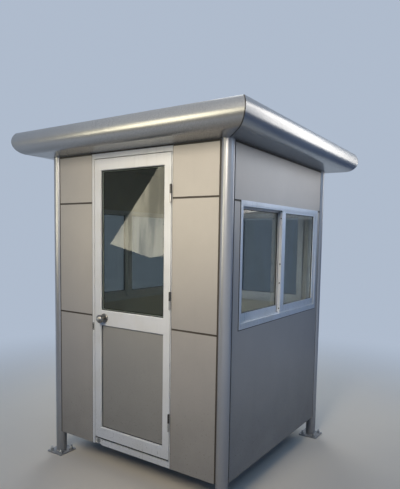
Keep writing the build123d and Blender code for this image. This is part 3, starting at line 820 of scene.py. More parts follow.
class BOOTH_OT_finishes(bpy.types.Operator):
    """Give every CAD node its finish"""

    bl_idname = "booth.finishes"
    bl_label = "Finishes"

    def execute(self, context):
        colours = context.scene.booth_finishes
        dust = tuple(colours.dust)
        steel = tuple(colours.steel)
        Finish.groups = {
            "flake": make_flake_group(),
            "waviness": make_waviness_group(),
            "grime_and_shade": make_grime_and_shade_group(),
            "streaks": make_streak_group(),
            "grain": make_grain_group(),
            "peel": make_peel_group(),
            "mitre": make_mitre_group(),
        }
        foot = corners("front_cladding_left")[0][2]
        sill = corners("right_window_frame")[0][2]
        # These settings give how high the darkening climbs from the foot: part dust, part painted shade.
        panels = dict(grime_and_shade_bottom=foot, grime_and_shade_reach=0.9, metallic=0.30, roughness=0.45, wave=2.0)
        tubes = dict(grime_and_shade_bottom=0.0, grime_and_shade_reach=0.5, metallic=0.50, roughness=0.32, wave=5.0)
        eaves = dict(grime_and_shade_bottom=0.0, grime_and_shade_reach=0.01, metallic=0.65, roughness=0.25, wave=3.0)
        window = dict(grime_and_shade_bottom=sill, grime_and_shade_reach=0.3, grime_and_shade_share=0.2)
        door = dict(grime_and_shade_bottom=foot, grime_and_shade_reach=0.35, grime_and_shade_share=0.12)
        upright, inwards, even = (1.0, 1.0, 0.05), (1.0, 0.05, 1.0), (1.0, 1.0, 1.0)
        by_slot = {
            "cladding_panel": silver_coating("Cladding panel", colours.cladding, dust, **panels),
            "door_infill": silver_coating("Door panel", colours.door_panel, dust, **panels),
            "roof_sheet": silver_coating("Eaves sheet", colours.roof, dust, **eaves, smear=colours.seal),
            "post_steel": silver_coating("Post paint", colours.posts, dust, **tubes),
            "window_aluminium": powder_coat("Window powder coat", colours.window_frames, dust, **window),
            "door_aluminium": powder_coat("Door powder coat", colours.door_frames, dust, **door),
            "window_glass": tinted_glass("Float glass", colours.glass),
            "wall_lining": lining_board("Lining board", colours.lining, dust),
            "floor_board": floor_board("Floor board", colours.floor, dust),
            "base_steel": primed_steel("Primed steel", colours.primer, dust),
            "roof_deck_sheet": galvanised("Galvanised sheet", dust),
            "hinge_steel": bare_steel("Hinge steel", steel, 0.36, upright),
            "knob_steel": bare_steel("Knob steel", darker(steel, 0.5), 0.26, inwards),
            "strike_steel": bare_steel("Strike steel", darker(steel, 0.3), 0.4, (1.0, 1.0, 0.1)),
        }
        for part in frame["record"]["subparts"]:
            node = frame["nodes"][part["node"]]
            node.data.materials.clear()
            node.data.materials.append(by_slot[part["material_slot"]])
        # The hinge halves on the leaf get a far darker, more stained copy of the hinge steel: painted shade on
        # that half of each hinge, with heavier stains.
        stained_and_shaded = bare_steel("Stained and shaded hinge steel", darker(steel, 0.2), 0.42, upright, stain=0.6)
        frame["nodes"]["hinge_leaf_halves"].data.materials[0] = stained_and_shaded
        dark_rubber("Joint sealant", colours.seal, dust, 0.55)
        dark_rubber("Glazing gasket", colours.rubber, dust, 0.45)
        bare_steel("Zinc screw", tuple(colours.zinc), 0.42, even, stain=0.4)
        bare_steel("Dark screw", darker(steel, 0.06), 0.6, even, stain=0.5)
        return {"FINISHED"}


# Pieces on the posts


def about_z(angles):
    """A matrix for each angle that turns a form about its +Z."""
    zero, one = np.zeros(len(angles)), np.ones(len(angles))
    rows = [np.cos(angles), -np.sin(angles), zero, np.sin(angles), np.cos(angles), zero, zero, zero, one]
    return np.stack(rows, axis=-1)


class BOOTH_OT_anchor_bolts(bpy.types.Operator):
    """Anchor studs with nuts and washers in the four holes of each foot plate"""

    bl_idname = "booth.anchor_bolts"
    bl_label = "Anchor bolts"

    def execute(self, context):
        sizes = context.scene.booth_hardware
        diameter, half = sizes.anchor_diameter, sizes.anchor_spacing / 2
        washer_thick, turn_between = 0.003, 37.0
        nut = hexagonal(across_flats=diameter * 1.5, height=diameter * 0.8, bevel=0.0012)
        places = []
        for post in POSTS:
            low, high = corners(post)
            middle = (low + high) / 2
            for x, y in ((-half, -half), (-half, half), (half, -half), (half, half)):
                places.append((middle[0] + x, middle[1] + y, sizes.plate_thickness))
        places = np.array(places)
        spun = about_z(np.radians(np.arange(len(places)) * turn_between))
        form = joined(
            placed(self.washer(diameter / 2, sizes.anchor_washer / 2, washer_thick), places),
            placed(nut, places + (0, 0, washer_thick), spun),
            placed(self.stud(diameter / 2, sizes.anchor_stand), places),
        )
        new_piece("anchor_bolts", form, "Zinc screw", "cabin")
        return {"FINISHED"}

    def washer(self, hole, rim, thick):
        """A flat ring whose rim has its edges just broken."""
        radii = [hole, rim * 0.98, rim, rim, rim * 0.98, hole]
        return turned(radii, [0.0, 0.0, 0.1 * thick, 0.9 * thick, thick, thick])

    def stud(self, radius, stand, ridges=29, thread_depth=0.08, tip=0.0015, tip_share=0.72):
        """A threaded rod: its radius steps in and out by the thread's depth, up to a chamfered tip."""
        thread = radius * (1.0 - thread_depth * (np.arange(ridges) % 2))
        heights = np.append(np.linspace(0.0, stand - tip, ridges), stand)
        return turned(np.append(thread, radius * tip_share), heights, segments=16)


class BOOTH_OT_foot_welds(bpy.types.Operator):
    """The weld round the foot of each post"""

    bl_idname = "booth.foot_welds"
    bl_label = "Foot welds"

    def execute(self, context):
        sizes = context.scene.booth_hardware
        forms = []
        for post in POSTS:
            low, high = corners(post)
            tube = points_of(post)
            tube = tube[tube[:, 2] > sizes.plate_thickness + TOUCH]
            radius = np.ptp(tube[:, 0]) / 2
            forms.append(self.weld((low + high) / 2, radius, sizes.weld_leg, sizes.plate_thickness))
        new_piece("foot_welds", joined(*forms), "Post paint", "cabin", sharp=60.0)
        return {"FINISHED"}

    def weld(self, centre, radius, leg, height, sections=192, ripples=44, swell=0.14):
        """A ring of bowed triangles: at angle t the leg is leg (1 + swell |sin(n t / 2)|), for n ripples.
        The bow is in shares of the leg, out by cos^1.4 and up by sin^1.4 of an angle from the plate."""
        turn = full_turn(sections)[:, None]
        size = leg * (1.0 + swell * np.abs(np.sin(turn * ripples / 2)))
        bow = np.radians(np.linspace(0.0, 90.0, 5))
        out = np.concatenate([[-0.2], 0.05 + 0.95 * np.cos(bow) ** 1.4, [-0.2]])
        up = np.concatenate([[-0.02], 0.95 * np.sin(bow) ** 1.4, [0.95]])
        reach = radius + size * out
        x, y = centre[0] + reach * np.cos(turn), centre[1] + reach * np.sin(turn)
        return looped(np.stack([x, y, height + size * up], axis=-1))


# Pieces on the walls


def joint_profile(width, depth):
    """A bead that fills a joint: flat behind and hollowed in front by a shallow arc."""
    arc_share, back = 0.9, -0.0042
    across = np.linspace(-0.5, 0.5, 7)
    hollow = depth * (1.0 + arc_share * (1.0 - (2 * across) ** 2))
    front = np.stack([across * width, -hollow], axis=1)
    return np.vstack([front, [[0.5 * width, back], [-0.5 * width, back]]])


def proud_profile(width, height):
    """A bead that stands on a face: a low round back between two feathered edges, sunk a little."""
    foot, sunk = 0.4 * width, -0.0003
    across = np.linspace(0.0, np.pi, 7)
    crown = np.stack([-0.5 * width * np.cos(across), height * np.sin(across)], axis=1)
    return np.vstack([crown, [[foot, sunk], [-foot, sunk]]])


class BOOTH_OT_panel_seals(bpy.types.Operator):
    """Dark sealant in the joints between the panels, beside the posts and under the eaves"""

    bl_idname = "booth.panel_seals"
    bl_label = "Panel seals"

    def execute(self, context):
        depth = context.scene.booth_hardware.seal_depth
        beads = []
        for wall_name, node in CLADDING:
            wall = WALLS[wall_name]
            for path, across, width in self.joints(wall, node, wall_name == "right"):
                beads.append(swept(path, across, wall.outward, joint_profile(width, depth)))
        new_piece("panel_joint_seals", joined(*beads), "Joint sealant", "cabin")
        return {"FINISHED"}

    def joints(self, wall, node, front_is_left):
        """The joints of a wall's sheets, each as its path, the direction across it and its width: between
        two sheets, under the eaves, and beside each end that stands at a post. Two levels of the sheets
        that lie about as far apart as the gap under the eaves are the edges of a joint."""
        least_gap = 0.010
        left, right, foot, head = wall.extent(node)[:4]
        gap = max(roof_line(wall.at(left if front_is_left else right, 0.0)) - head, least_gap)
        found = []
        levels = levels_of(node)
        for low, high in zip(levels[:-1], levels[1:]):
            if gap * 0.6 < high - low < gap * 1.2:
                middle = (low + high) / 2
                found.append(([wall.at(left, middle), wall.at(right, middle)], UP, high - low))
        ends = [wall.at(left, 0.0), wall.at(right, 0.0)]
        found.append(([end + UP * (roof_line(end) - gap / 2) for end in ends], UP, gap))
        for end, side in ((left, -1), (right, 1)):
            if abs(end) > 0.5 * wall.face:
                middle = end + side * gap / 2
                top = roof_line(wall.at(middle, 0.0)) - TOUCH
                found.append(([wall.at(middle, foot), wall.at(middle, top)], wall.run, gap))
        return found


class BOOTH_OT_door_surround(bpy.types.Operator):
    """A fine bead between the door frame and the panels and soffit, and the bulb seal on the door stop"""

    bl_idname = "booth.door_surround"
    bl_label = "Door surround"

    def execute(self, context):
        wall = WALLS["front"]
        left, right, foot, head = wall.extent("door_frame")[:4]
        short_of_head = 0.012
        bead = proud_profile(width=0.0026, height=0.0007)
        beads = []
        for along in (left, right):
            path = [wall.at(along, foot), wall.at(along, head - short_of_head)]
            beads.append(swept(path, wall.run, wall.outward, bead))
        fillet = [[-0.007, -0.0002], [-0.006, 0.001], [-0.001, 0.006], [0.0005, 0.0065], [0.0005, -0.0002]]
        beads.append(swept([wall.at(left, head), wall.at(right, head)], UP, wall.outward, fillet))
        new_piece("door_frame_seal", joined(*beads), "Joint sealant", "cabin")
        seal = self.stop_seal(wall, foot)
        new_piece("door_stop_seal", seal, "Glazing gasket", "cabin")
        return {"FINISHED"}

    def stop_seal(self, wall, foot):
        """The seal on the stop behind the leaf, which is as clear of the stop as of the bottom rail."""
        bottom_rail, seal_foot, lap = 0.041, 0.045, 0.006
        bulb = proud_profile(width=0.008, height=0.0034)
        left, right, bottom, top, behind = wall.extent("door_leaf")[:5]
        box = (left + lap, right - lap, foot + seal_foot, top - lap)
        stop = wall.at(0.0, 0.0, behind - (bottom - foot - bottom_rail))
        return framed(stop, wall.run, UP, wall.outward, box, bulb, "no bottom")


# Pieces on the windows


def gasket_profile(width, height):
    """A glazing gasket: a wedge against the frame that thins out over the glass."""
    return [[0, 0], [width, 0], [0.85 * width, 0.45 * height], [0.25 * width, 0.95 * height], [0, height]]


def sash_lights(name, sections):
    """For each sash of a window: the opening round its glass and how far out its middle lies."""
    wall = WALLS[name]
    lights = []
    for sash in ("outer", "inner"):
        left, right, bottom, top, behind, before = wall.extent(f"{name}_window_{sash}_sash")
        left += sections.meeting_stile if sash == "outer" else sections.sash_stile
        right -= sections.sash_stile if sash == "outer" else sections.meeting_stile
        box = (left, right, bottom + sections.sash_bottom_rail, top - sections.sash_top_rail)
        lights.append((box, (behind + before) / 2))
    return lights


class BOOTH_OT_window_seals(bpy.types.Operator):
    """Sealant round the window flanges and gaskets round the panes"""

    bl_idname = "booth.window_seals"
    bl_label = "Window seals"

    def execute(self, context):
        sizes = context.scene.booth_hardware
        sections = context.scene.booth_sections
        seal, sunk = sizes.flange_seal, -0.0003
        flange = [[-seal, sunk], [-0.7 * seal, 0.0012], [0, 0.0026], [0.0005, sunk]]
        gasket = gasket_profile(sizes.gasket_width, sizes.gasket_height)
        beads, gaskets = [], []
        for name in WINDOWS:
            wall = WALLS[name]
            box = wall.extent(f"{name}_window_frame")[:4]
            beads.append(framed(wall.at(0, 0), wall.run, UP, wall.outward, box, flange, "no top"))
            for light, middle in sash_lights(name, sections):
                for side in (1, -1):
                    origin = wall.at(0, 0, middle + side * sections.pane / 2)
                    gaskets.append(framed(origin, wall.run, UP, side * wall.outward, light, gasket))
        new_piece("window_flange_seals", joined(*beads), "Joint sealant", "cabin")
        new_piece("window_gaskets", joined(*gaskets), "Glazing gasket", "cabin")
        return {"FINISHED"}


class BOOTH_OT_window_fittings(bpy.types.Operator):
    """Screws in the flanges and meeting stiles, sash corner joints, and a catch inside each window"""

    bl_idname = "booth.window_fittings"
    bl_label = "Window fittings"

    def execute(self, context):
        diameter = context.scene.booth_hardware.frame_screw
        sections = context.scene.booth_sections
        flange_screws, stile_screws, joints, catches = [], [], [], []
        for name in WINDOWS:
            wall = WALLS[name]
            flange_screws.append(self.flange_screws(wall, name, screw_head(diameter, rise=0.0012)))
            stile_screws.append(self.stile_screws(wall, name, screw_head(diameter * 1.25, rise=0.0014)))
            joints += self.sash_joints(wall, name, sections)
            catches.append(self.catch(wall, name))
        for piece_name, forms, material_name in (
            ("window_flange_screws", flange_screws, "Window powder coat"),
            ("meeting_stile_screws", stile_screws, "Dark screw"),
            ("sash_corner_joints", joints, "Glazing gasket"),
            ("window_catches", catches, "Window powder coat"),
        ):
            new_piece(piece_name, joined(*forms), material_name, "cabin")
        return {"FINISHED"}

    def flange_screws(self, wall, name, form):
        """Painted screws round the flange: five along its head and its foot, and three up each side."""
        edge, foot_edge, first_along, first_up = 0.0135, 0.010, 0.060, 0.12
        left, right, bottom, top, _, proud = wall.extent(f"{name}_window_frame")
        along = np.linspace(left + first_along, right - first_along, 5)
        up = np.linspace(bottom + first_up, top - first_up, 3)
        places = [wall.at(u, v, proud) for u in along for v in (top - edge, bottom + foot_edge)]
        places += [wall.at(u, v, proud) for u in (left + edge, right - edge) for v in up]
        return placed(form, places, facing(wall.outward))

    def stile_screws(self, wall, name, form):
        """Dark screws down the edge of the outer sash's meeting stile, at shares of its height."""
        left, _, bottom, top, _, before = wall.extent(f"{name}_window_outer_sash")
        shares, behind_face = np.array([0.042, 0.292, 0.476, 0.918, 0.987]), 0.009
        places = [wall.at(left, height, before - behind_face) for height in bottom + shares * (top - bottom)]
        return placed(form, places, facing(-wall.run))

    def sash_joints(self, wall, name, sections):
        """Butt joints where each sash's rails meet its stiles, and the splice in an inner bottom rail."""
        line, splice = proud_profile(width=0.0009, height=0.00015), 0.108
        made = []
        for sash, (light, _) in zip(("outer", "inner"), sash_lights(name, sections)):
            left, _, bottom, top, _, before = wall.extent(f"{name}_window_{sash}_sash")
            rails = ((bottom, light[2]), (light[3], top))
            lines = [(along, low, high) for along in light[:2] for low, high in rails]
            if sash == "inner":
                lines.append((left + splice, bottom, light[2]))
            for along, low, high in lines:
                path = [wall.at(along, low, before), wall.at(along, high, before)]
                made.append(swept(path, wall.run, wall.outward, line))
        return made

    def catch(self, wall, name):
        """A crescent catch on the room side of the inner sash: a base, a hub and a lever, whose path at
        angle t is (r sin t, r (1 - cos t)) from beside the hub."""
        _, right, bottom, top, behind, _ = wall.extent(f"{name}_window_inner_sash")
        from_edge, radius, lift, steps = 0.020, 0.022, 0.0085, 13
        spot = wall.at(right - from_edge, (bottom + top) / 2, behind)
        base = plate(width=0.018, height=0.062, thickness=0.004, corner=0.006)
        hub = turned([0.008, 0.008, 0.0072, 0.003], [0.003, 0.011, 0.0122, 0.0126])
        bend = np.linspace(0.0, np.radians(100.0), steps)
        x, y = radius * np.sin(bend) - 0.004, radius * (1 - np.cos(bend)) - 0.002
        path = np.stack([x, y, np.full(steps, lift)], axis=1)
        across = np.stack([-np.sin(bend), np.cos(bend), np.zeros(steps)], axis=1)
        section = [[-0.004, -0.002], [0.004, -0.002], [0.0035, 0.002], [-0.0035, 0.002]]
        return placed(joined(base, hub, swept(path, across, UP, section)), [spot], facing(-wall.outward))


# Pieces on the door


def door_lights(sections):
    """The openings round the door's glass and lower panel, along and up the front wall."""
    left, right, bottom, top, behind, before = WALLS["front"].extent("door_leaf")
    knob = corners("door_knob")
    knob_height = (knob[0][2] + knob[1][2]) / 2
    left, right = left + sections.door_stile, right - sections.door_stile
    half_rail = sections.door_middle_rail / 2
    glass = (left, right, knob_height + half_rail, top - sections.door_top_rail)
    panel = (left, right, bottom + sections.door_bottom_rail, knob_height - half_rail)
    return glass, panel, (behind + before) / 2


class BOOTH_OT_door_seals(bpy.types.Operator):
    """Gaskets round the door's glass and lower panel, with snap-in beads on the room side, and the sweep"""

    bl_idname = "booth.door_seals"
    bl_label = "Door seals"

    def execute(self, context):
        sizes = context.scene.booth_hardware
        sections = context.scene.booth_sections
        wall = WALLS["front"]
        glass, panel, middle = door_lights(sections)
        gasket = gasket_profile(sizes.gasket_width, sizes.gasket_height)
        width, lap = 0.010, -0.0005
        bead = [[lap, 0], [width, 0], [width, 0.003], [0.0085, 0.0052], [0.0035, 0.0095], [lap, 0.0102]]
        outside = wall.at(0, 0, middle + sections.pane / 2)
        inside = wall.at(0, 0, middle - sections.pane / 2)
        gaskets, beads = [], []
        for light in (glass, panel):
            inner = (light[0] + width, light[1] - width, light[2] + width, light[3] - width)
            gaskets.append(framed(outside, wall.run, UP, wall.outward, light, gasket))
            gaskets.append(framed(inside, wall.run, UP, -wall.outward, inner, gasket))
            beads.append(framed(inside, wall.run, UP, -wall.outward, light, bead))
        new_piece("door_gaskets", joined(*gaskets), "Glazing gasket", "door")
        new_piece("door_sweep", self.sweep(wall), "Glazing gasket", "door")
        new_piece("door_glazing_beads", joined(*beads), "Door powder coat", "door")
        return {"FINISHED"}

    def sweep(self, wall):
        """A low dark strip along the leaf's foot, short of both its ends."""
        short, lift, back = 0.003, 0.0015, -0.004
        left, right, foot = wall.extent("door_leaf")[:3]
        path = [wall.at(left + short, foot + lift), wall.at(right - short, foot + lift)]
        lower = [[-0.0015, back], [-0.0015, 0.0005], [-0.0005, 0.0009]]
        return swept(path, UP, wall.outward, [*lower, [0.005, 0.0009], [0.006, -0.0003], [0.006, back]])


class BOOTH_OT_hinge_fittings(bpy.types.Operator):
    """Screws in the hinge flaps and caps on the knuckles"""

    bl_idname = "booth.hinge_fittings"
    bl_label = "Hinge fittings"

    def execute(self, context):
        head = screw_head(context.scene.booth_hardware.hinge_screw, rise=0.0004)
        flap, from_end, from_pin, stagger, hinges = 0.0022, 0.010, 0.0245, 0.005, 3
        pin = np.array(joint_named("door_hinge")["pos_m"])
        knuckle = pin[1] - corners("hinge_leaf_halves")[0][1]
        dome = knuckle * np.array([0.97, 1.0, 0.92, 0.7, 0.35])
        cap = turned(dome, [-0.0005, 0.0004, 0.0012, 0.0019, 0.0022])
        leaf_edge = corners("door_leaf")[1][0]
        for name, body, side, cap_steel in (
            # The leaf's knuckle caps take the darker copy of the hinge steel: painted shade.
            ("leaf", "door", 1, "Stained and shaded hinge steel"),
            ("jamb", "cabin", -1, "Hinge steel"),
        ):
            levels = levels_of(f"hinge_{name}_halves")
            step = len(levels) // hinges
            lows, highs = levels[0::step], levels[1::step]
            face = leaf_edge + flap if side > 0 else 2 * pin[0] - leaf_edge - flap
            heights = np.concatenate([lows + from_end, (lows + highs) / 2, highs - from_end])
            places = [(face, pin[1] + from_pin + stagger * (row % 2), z) for row, z in enumerate(heights)]
            screws = placed(head, places, facing((side, 0, 0)))
            ends = highs if side > 0 else lows
            caps = placed(cap, [(pin[0], pin[1], z) for z in ends], facing((0, 0, side)))
            new_piece(f"hinge_{name}_screws", screws, "Zinc screw", body)
            new_piece(f"hinge_{name}_caps", caps, cap_steel, body)
        return {"FINISHED"}


class BOOTH_OT_knob_fittings(bpy.types.Operator):
    """The key plug outside, the thumb turn inside, the rose screws, the latch and the strike's screws"""

    bl_idname = "booth.knob_fittings"
    bl_label = "Knob fittings"

    def execute(self, context):
        low, high = corners("door_knob")
        x, z = (low[0] + high[0]) / 2, (low[2] + high[2]) / 2
        outside, inside = facing((0, -1, 0)), facing((0, 1, 0))
        plug = placed(self.key_plug(), [(x, low[1], z)], outside)
        new_piece("knob_key_plug", plug, "Zinc screw", "knob")
        thumb = placed(self.thumb_turn(), [(x, high[1], z)], inside)
        new_piece("knob_thumb_turn", thumb, "Knob steel", "knob")
        rose_face, spread = corners("knob_roses")[1][1], 0.0235
        places = [(x, rose_face, z + spread), (x, rose_face, z - spread)]
        screws = placed(screw_head(0.006, rise=0.0008), places, inside)
        new_piece("rose_screws", screws, "Zinc screw", "door")
        self.latch(z)
        self.strike()
        return {"FINISHED"}

    def key_plug(self):
        """A plug with one slot in a low ring."""
        ring = turned([0.0092, 0.0092, 0.0088, 0.0080], [-0.002, 0.0004, 0.0008, 0.0010])
        return joined(ring, placed(screw_head(0.0135, rise=0.0016, slots=1), [(0, 0, 0.0010)]))

    def thumb_turn(self, half_width=0.0105, flatness=0.30, sunk=0.002, length=0.014, segments=24):
        """A flat button: at a share s of its length it is half_width sqrt(1 - 0.92 s^4) wide each way,
        and its thickness is a share of that."""
        rise = np.linspace(0.0, 1.0, 8)[:, None]
        width = half_width * np.sqrt(1.0 - 0.92 * rise**4)
        turn = full_turn(segments)
        heights = np.broadcast_to(-sunk + length * rise, (len(rise), segments))
        return stacked(np.stack([width * np.cos(turn), flatness * width * np.sin(turn), heights], axis=-1))

    def latch(self, height):
        """A face plate on the lock edge of the leaf with its bevelled latch tongue and two screws."""
        low, high = corners("door_leaf")
        edge = np.array([low[0], (low[1] + high[1]) / 2, height])
        thick, spread = 0.0009, 0.022
        face = plate(width=0.022, height=0.058, thickness=thick, corner=0.003)
        tongue = plate(width=0.011, height=0.014, thickness=0.0028, corner=0.002, bevel=0.0012)
        screws = placed(screw_head(0.006, rise=0.0004), [(0, spread, thick), (0, -spread, thick)])
        form = placed(joined(face, tongue, screws), [edge], facing((-1, 0, 0)))
        new_piece("latch_plate", form, "Zinc screw", "door")

    def strike(self):
        """Two screws in the strike plate."""
        low, high = corners("strike_plate")
        middle, spread = (low + high) / 2, 0.019
        places = [(middle[0], low[1], middle[2] + offset) for offset in (-spread, spread)]
        form = placed(screw_head(0.0065, rise=0.0010), places, facing((0, -1, 0)))
        new_piece("strike_screws", form, "Zinc screw", "cabin")


class BOOTH_OT_front_fixings(bpy.types.Operator):
    """The bolt at the cut-back end of the door sill and the screw in the front left joint"""

    bl_idname = "booth.front_fixings"
    bl_label = "Front fixings"

    def execute(self, context):
        wall = WALLS["front"]
        outward = facing(wall.outward)
        left, _, bottom, top = wall.extent("door_sill")[:4]
        from_end, recess = 0.026, 0.012
        spot = wall.at(left + from_end, (bottom + top) / 2, -recess)
        washer = turned([0.017, 0.0172, 0.017, 0.012], [0.0, 0.0012, 0.0024, 0.0026])
        bolt = placed(hexagonal(across_flats=0.018, height=0.0085, bevel=0.0010), [(0, 0, 0.0025)])
        form = placed(joined(washer, bolt), [spot], outward)
        new_piece("sill_bolt", form, "Zinc screw", "cabin")
        joint_along, joint_height, sunk = -0.6785, 1.948, 0.001
        joint = wall.at(joint_along, joint_height, -sunk)
        screw = placed(screw_head(0.009, rise=0.0022), [joint], outward)
        new_piece("joint_screw", screw, "Dark screw", "cabin")
        return {"FINISHED"}


# Pieces on the roof


def eaves_line(sections, overhang, inset):
    """The eaves' outer line in section: out from the wall face, up from the wall top, and its normal.
    The soffit rises to the nose, an arc carries it round, and the top runs back level."""
    start, end = (0.012, 0.1 * sections.nose_rise), -0.045
    centre = np.array([overhang - sections.nose_radius, sections.nose_rise + sections.nose_radius])
    turn = np.linspace(-np.pi / 2, sections.nose_cut, 25)
    normals = np.stack([np.cos(turn), np.sin(turn)], axis=1)
    arc = centre + sections.nose_radius * normals
    soffit_normal = np.array([sections.nose_rise, -centre[0]])
    soffit_normal /= np.linalg.norm(soffit_normal)
    line = np.vstack([start, arc, (end, arc[-1][1])])
    normals = np.vstack([soffit_normal, normals, (0.0, 1.0)])
    return line - inset * normals, normals


class BOOTH_OT_roof_fixings(bpy.types.Operator):
    """Sealant in the four mitres of the eaves, and the rivets and edge seal on top of the roof"""

    bl_idname = "booth.roof_fixings"
    bl_label = "Roof fixings"

    def execute(self, context):
        sizes = context.scene.booth_hardware
        faces = np.array([WALLS["right"].face, WALLS["front"].face])
        overhang = corners("right_fascia")[1][0] - faces[0]
        inset = 0.0006
        line, normals = eaves_line(context.scene.booth_sections, overhang, inset)
        line = line - (sizes.mitre_recess, 0.0)
        top = WALL_TOP + line[-1][1] + inset
        mitres = self.mitres(faces, line, normals)
        rivets = self.rivets(sizes, faces - sizes.rivet_inset, top)
        edge = self.edge_seal(faces - sizes.roof_lap, top)
        self.add("mitre_seals", mitres, "Joint sealant", "roof_sheet")
        self.add("roof_rivets", rivets, "Zinc screw", "roof_sheet")
        self.add("roof_edge_seal", edge, "Joint sealant", "roof_deck_sheet")
        return {"FINISHED"}

    def add(self, name, form, material_name, slot):
        """A piece worked out on the level roof and turned to its fall."""
        new_piece(name, (fallen(form[0]), *form[1:]), material_name, "cabin")

    def mitres(self, faces, line, normals):
        """A strip down each mitre: the eaves' line carried out from a corner of the walls along x and y
        alike, with a low crown."""
        half, crown, back = 0.0019, 0.0004, -0.003
        section = [[-half, 0.0], [0.0, crown], [half, 0.0], [half, back], [-half, back]]
        corner = np.array([*faces, WALL_TOP])
        strips = []
        for x_sign, y_sign in ((1, 1), (1, -1), (-1, 1), (-1, -1)):
            signs = (x_sign, y_sign, 1)
            path, outward = (corner + line[:, [0, 0, 1]]) * signs, normals[:, [0, 0, 1]] * signs
            across = np.array([-y_sign, x_sign, 0.0]) / math.sqrt(2)
            strips.append(swept(path, across, outward, section))
        return joined(*strips)

    def rivets(self, sizes, lines, top):
        """Domed rivets in a rectangle, spaced evenly along each side."""
        along_x, along_y = (np.linspace(-line, line, sizes.rivets) for line in lines)
        places = [(x, y, top) for x in along_x for y in (-lines[1], lines[1])]
        places += [(x, y, top) for x in (-lines[0], lines[0]) for y in along_y[1:-1]]
        radii = sizes.rivet / 2 * np.array([1.0, 1.0, 0.86, 0.55, 0.3])
        return placed(turned(radii, [-0.0004, 0.0003, 0.0011, 0.0017, 0.0019]), places)

    def edge_seal(self, lines, top):
        """A fillet round the roof, down from the edge of the eaves' sheet to the deck."""
        lap, deck = -0.001, -0.0042
        fillet = [[lap, 0.0005], [0.0005, 0.0005], [0.004, -0.0015], [0.008, deck], [lap, deck]]
        box = (-lines[0], lines[0], -lines[1], lines[1])
        right, back = np.eye(3)[:2]
        return framed((0, 0, top), right, back, UP, box, fillet)


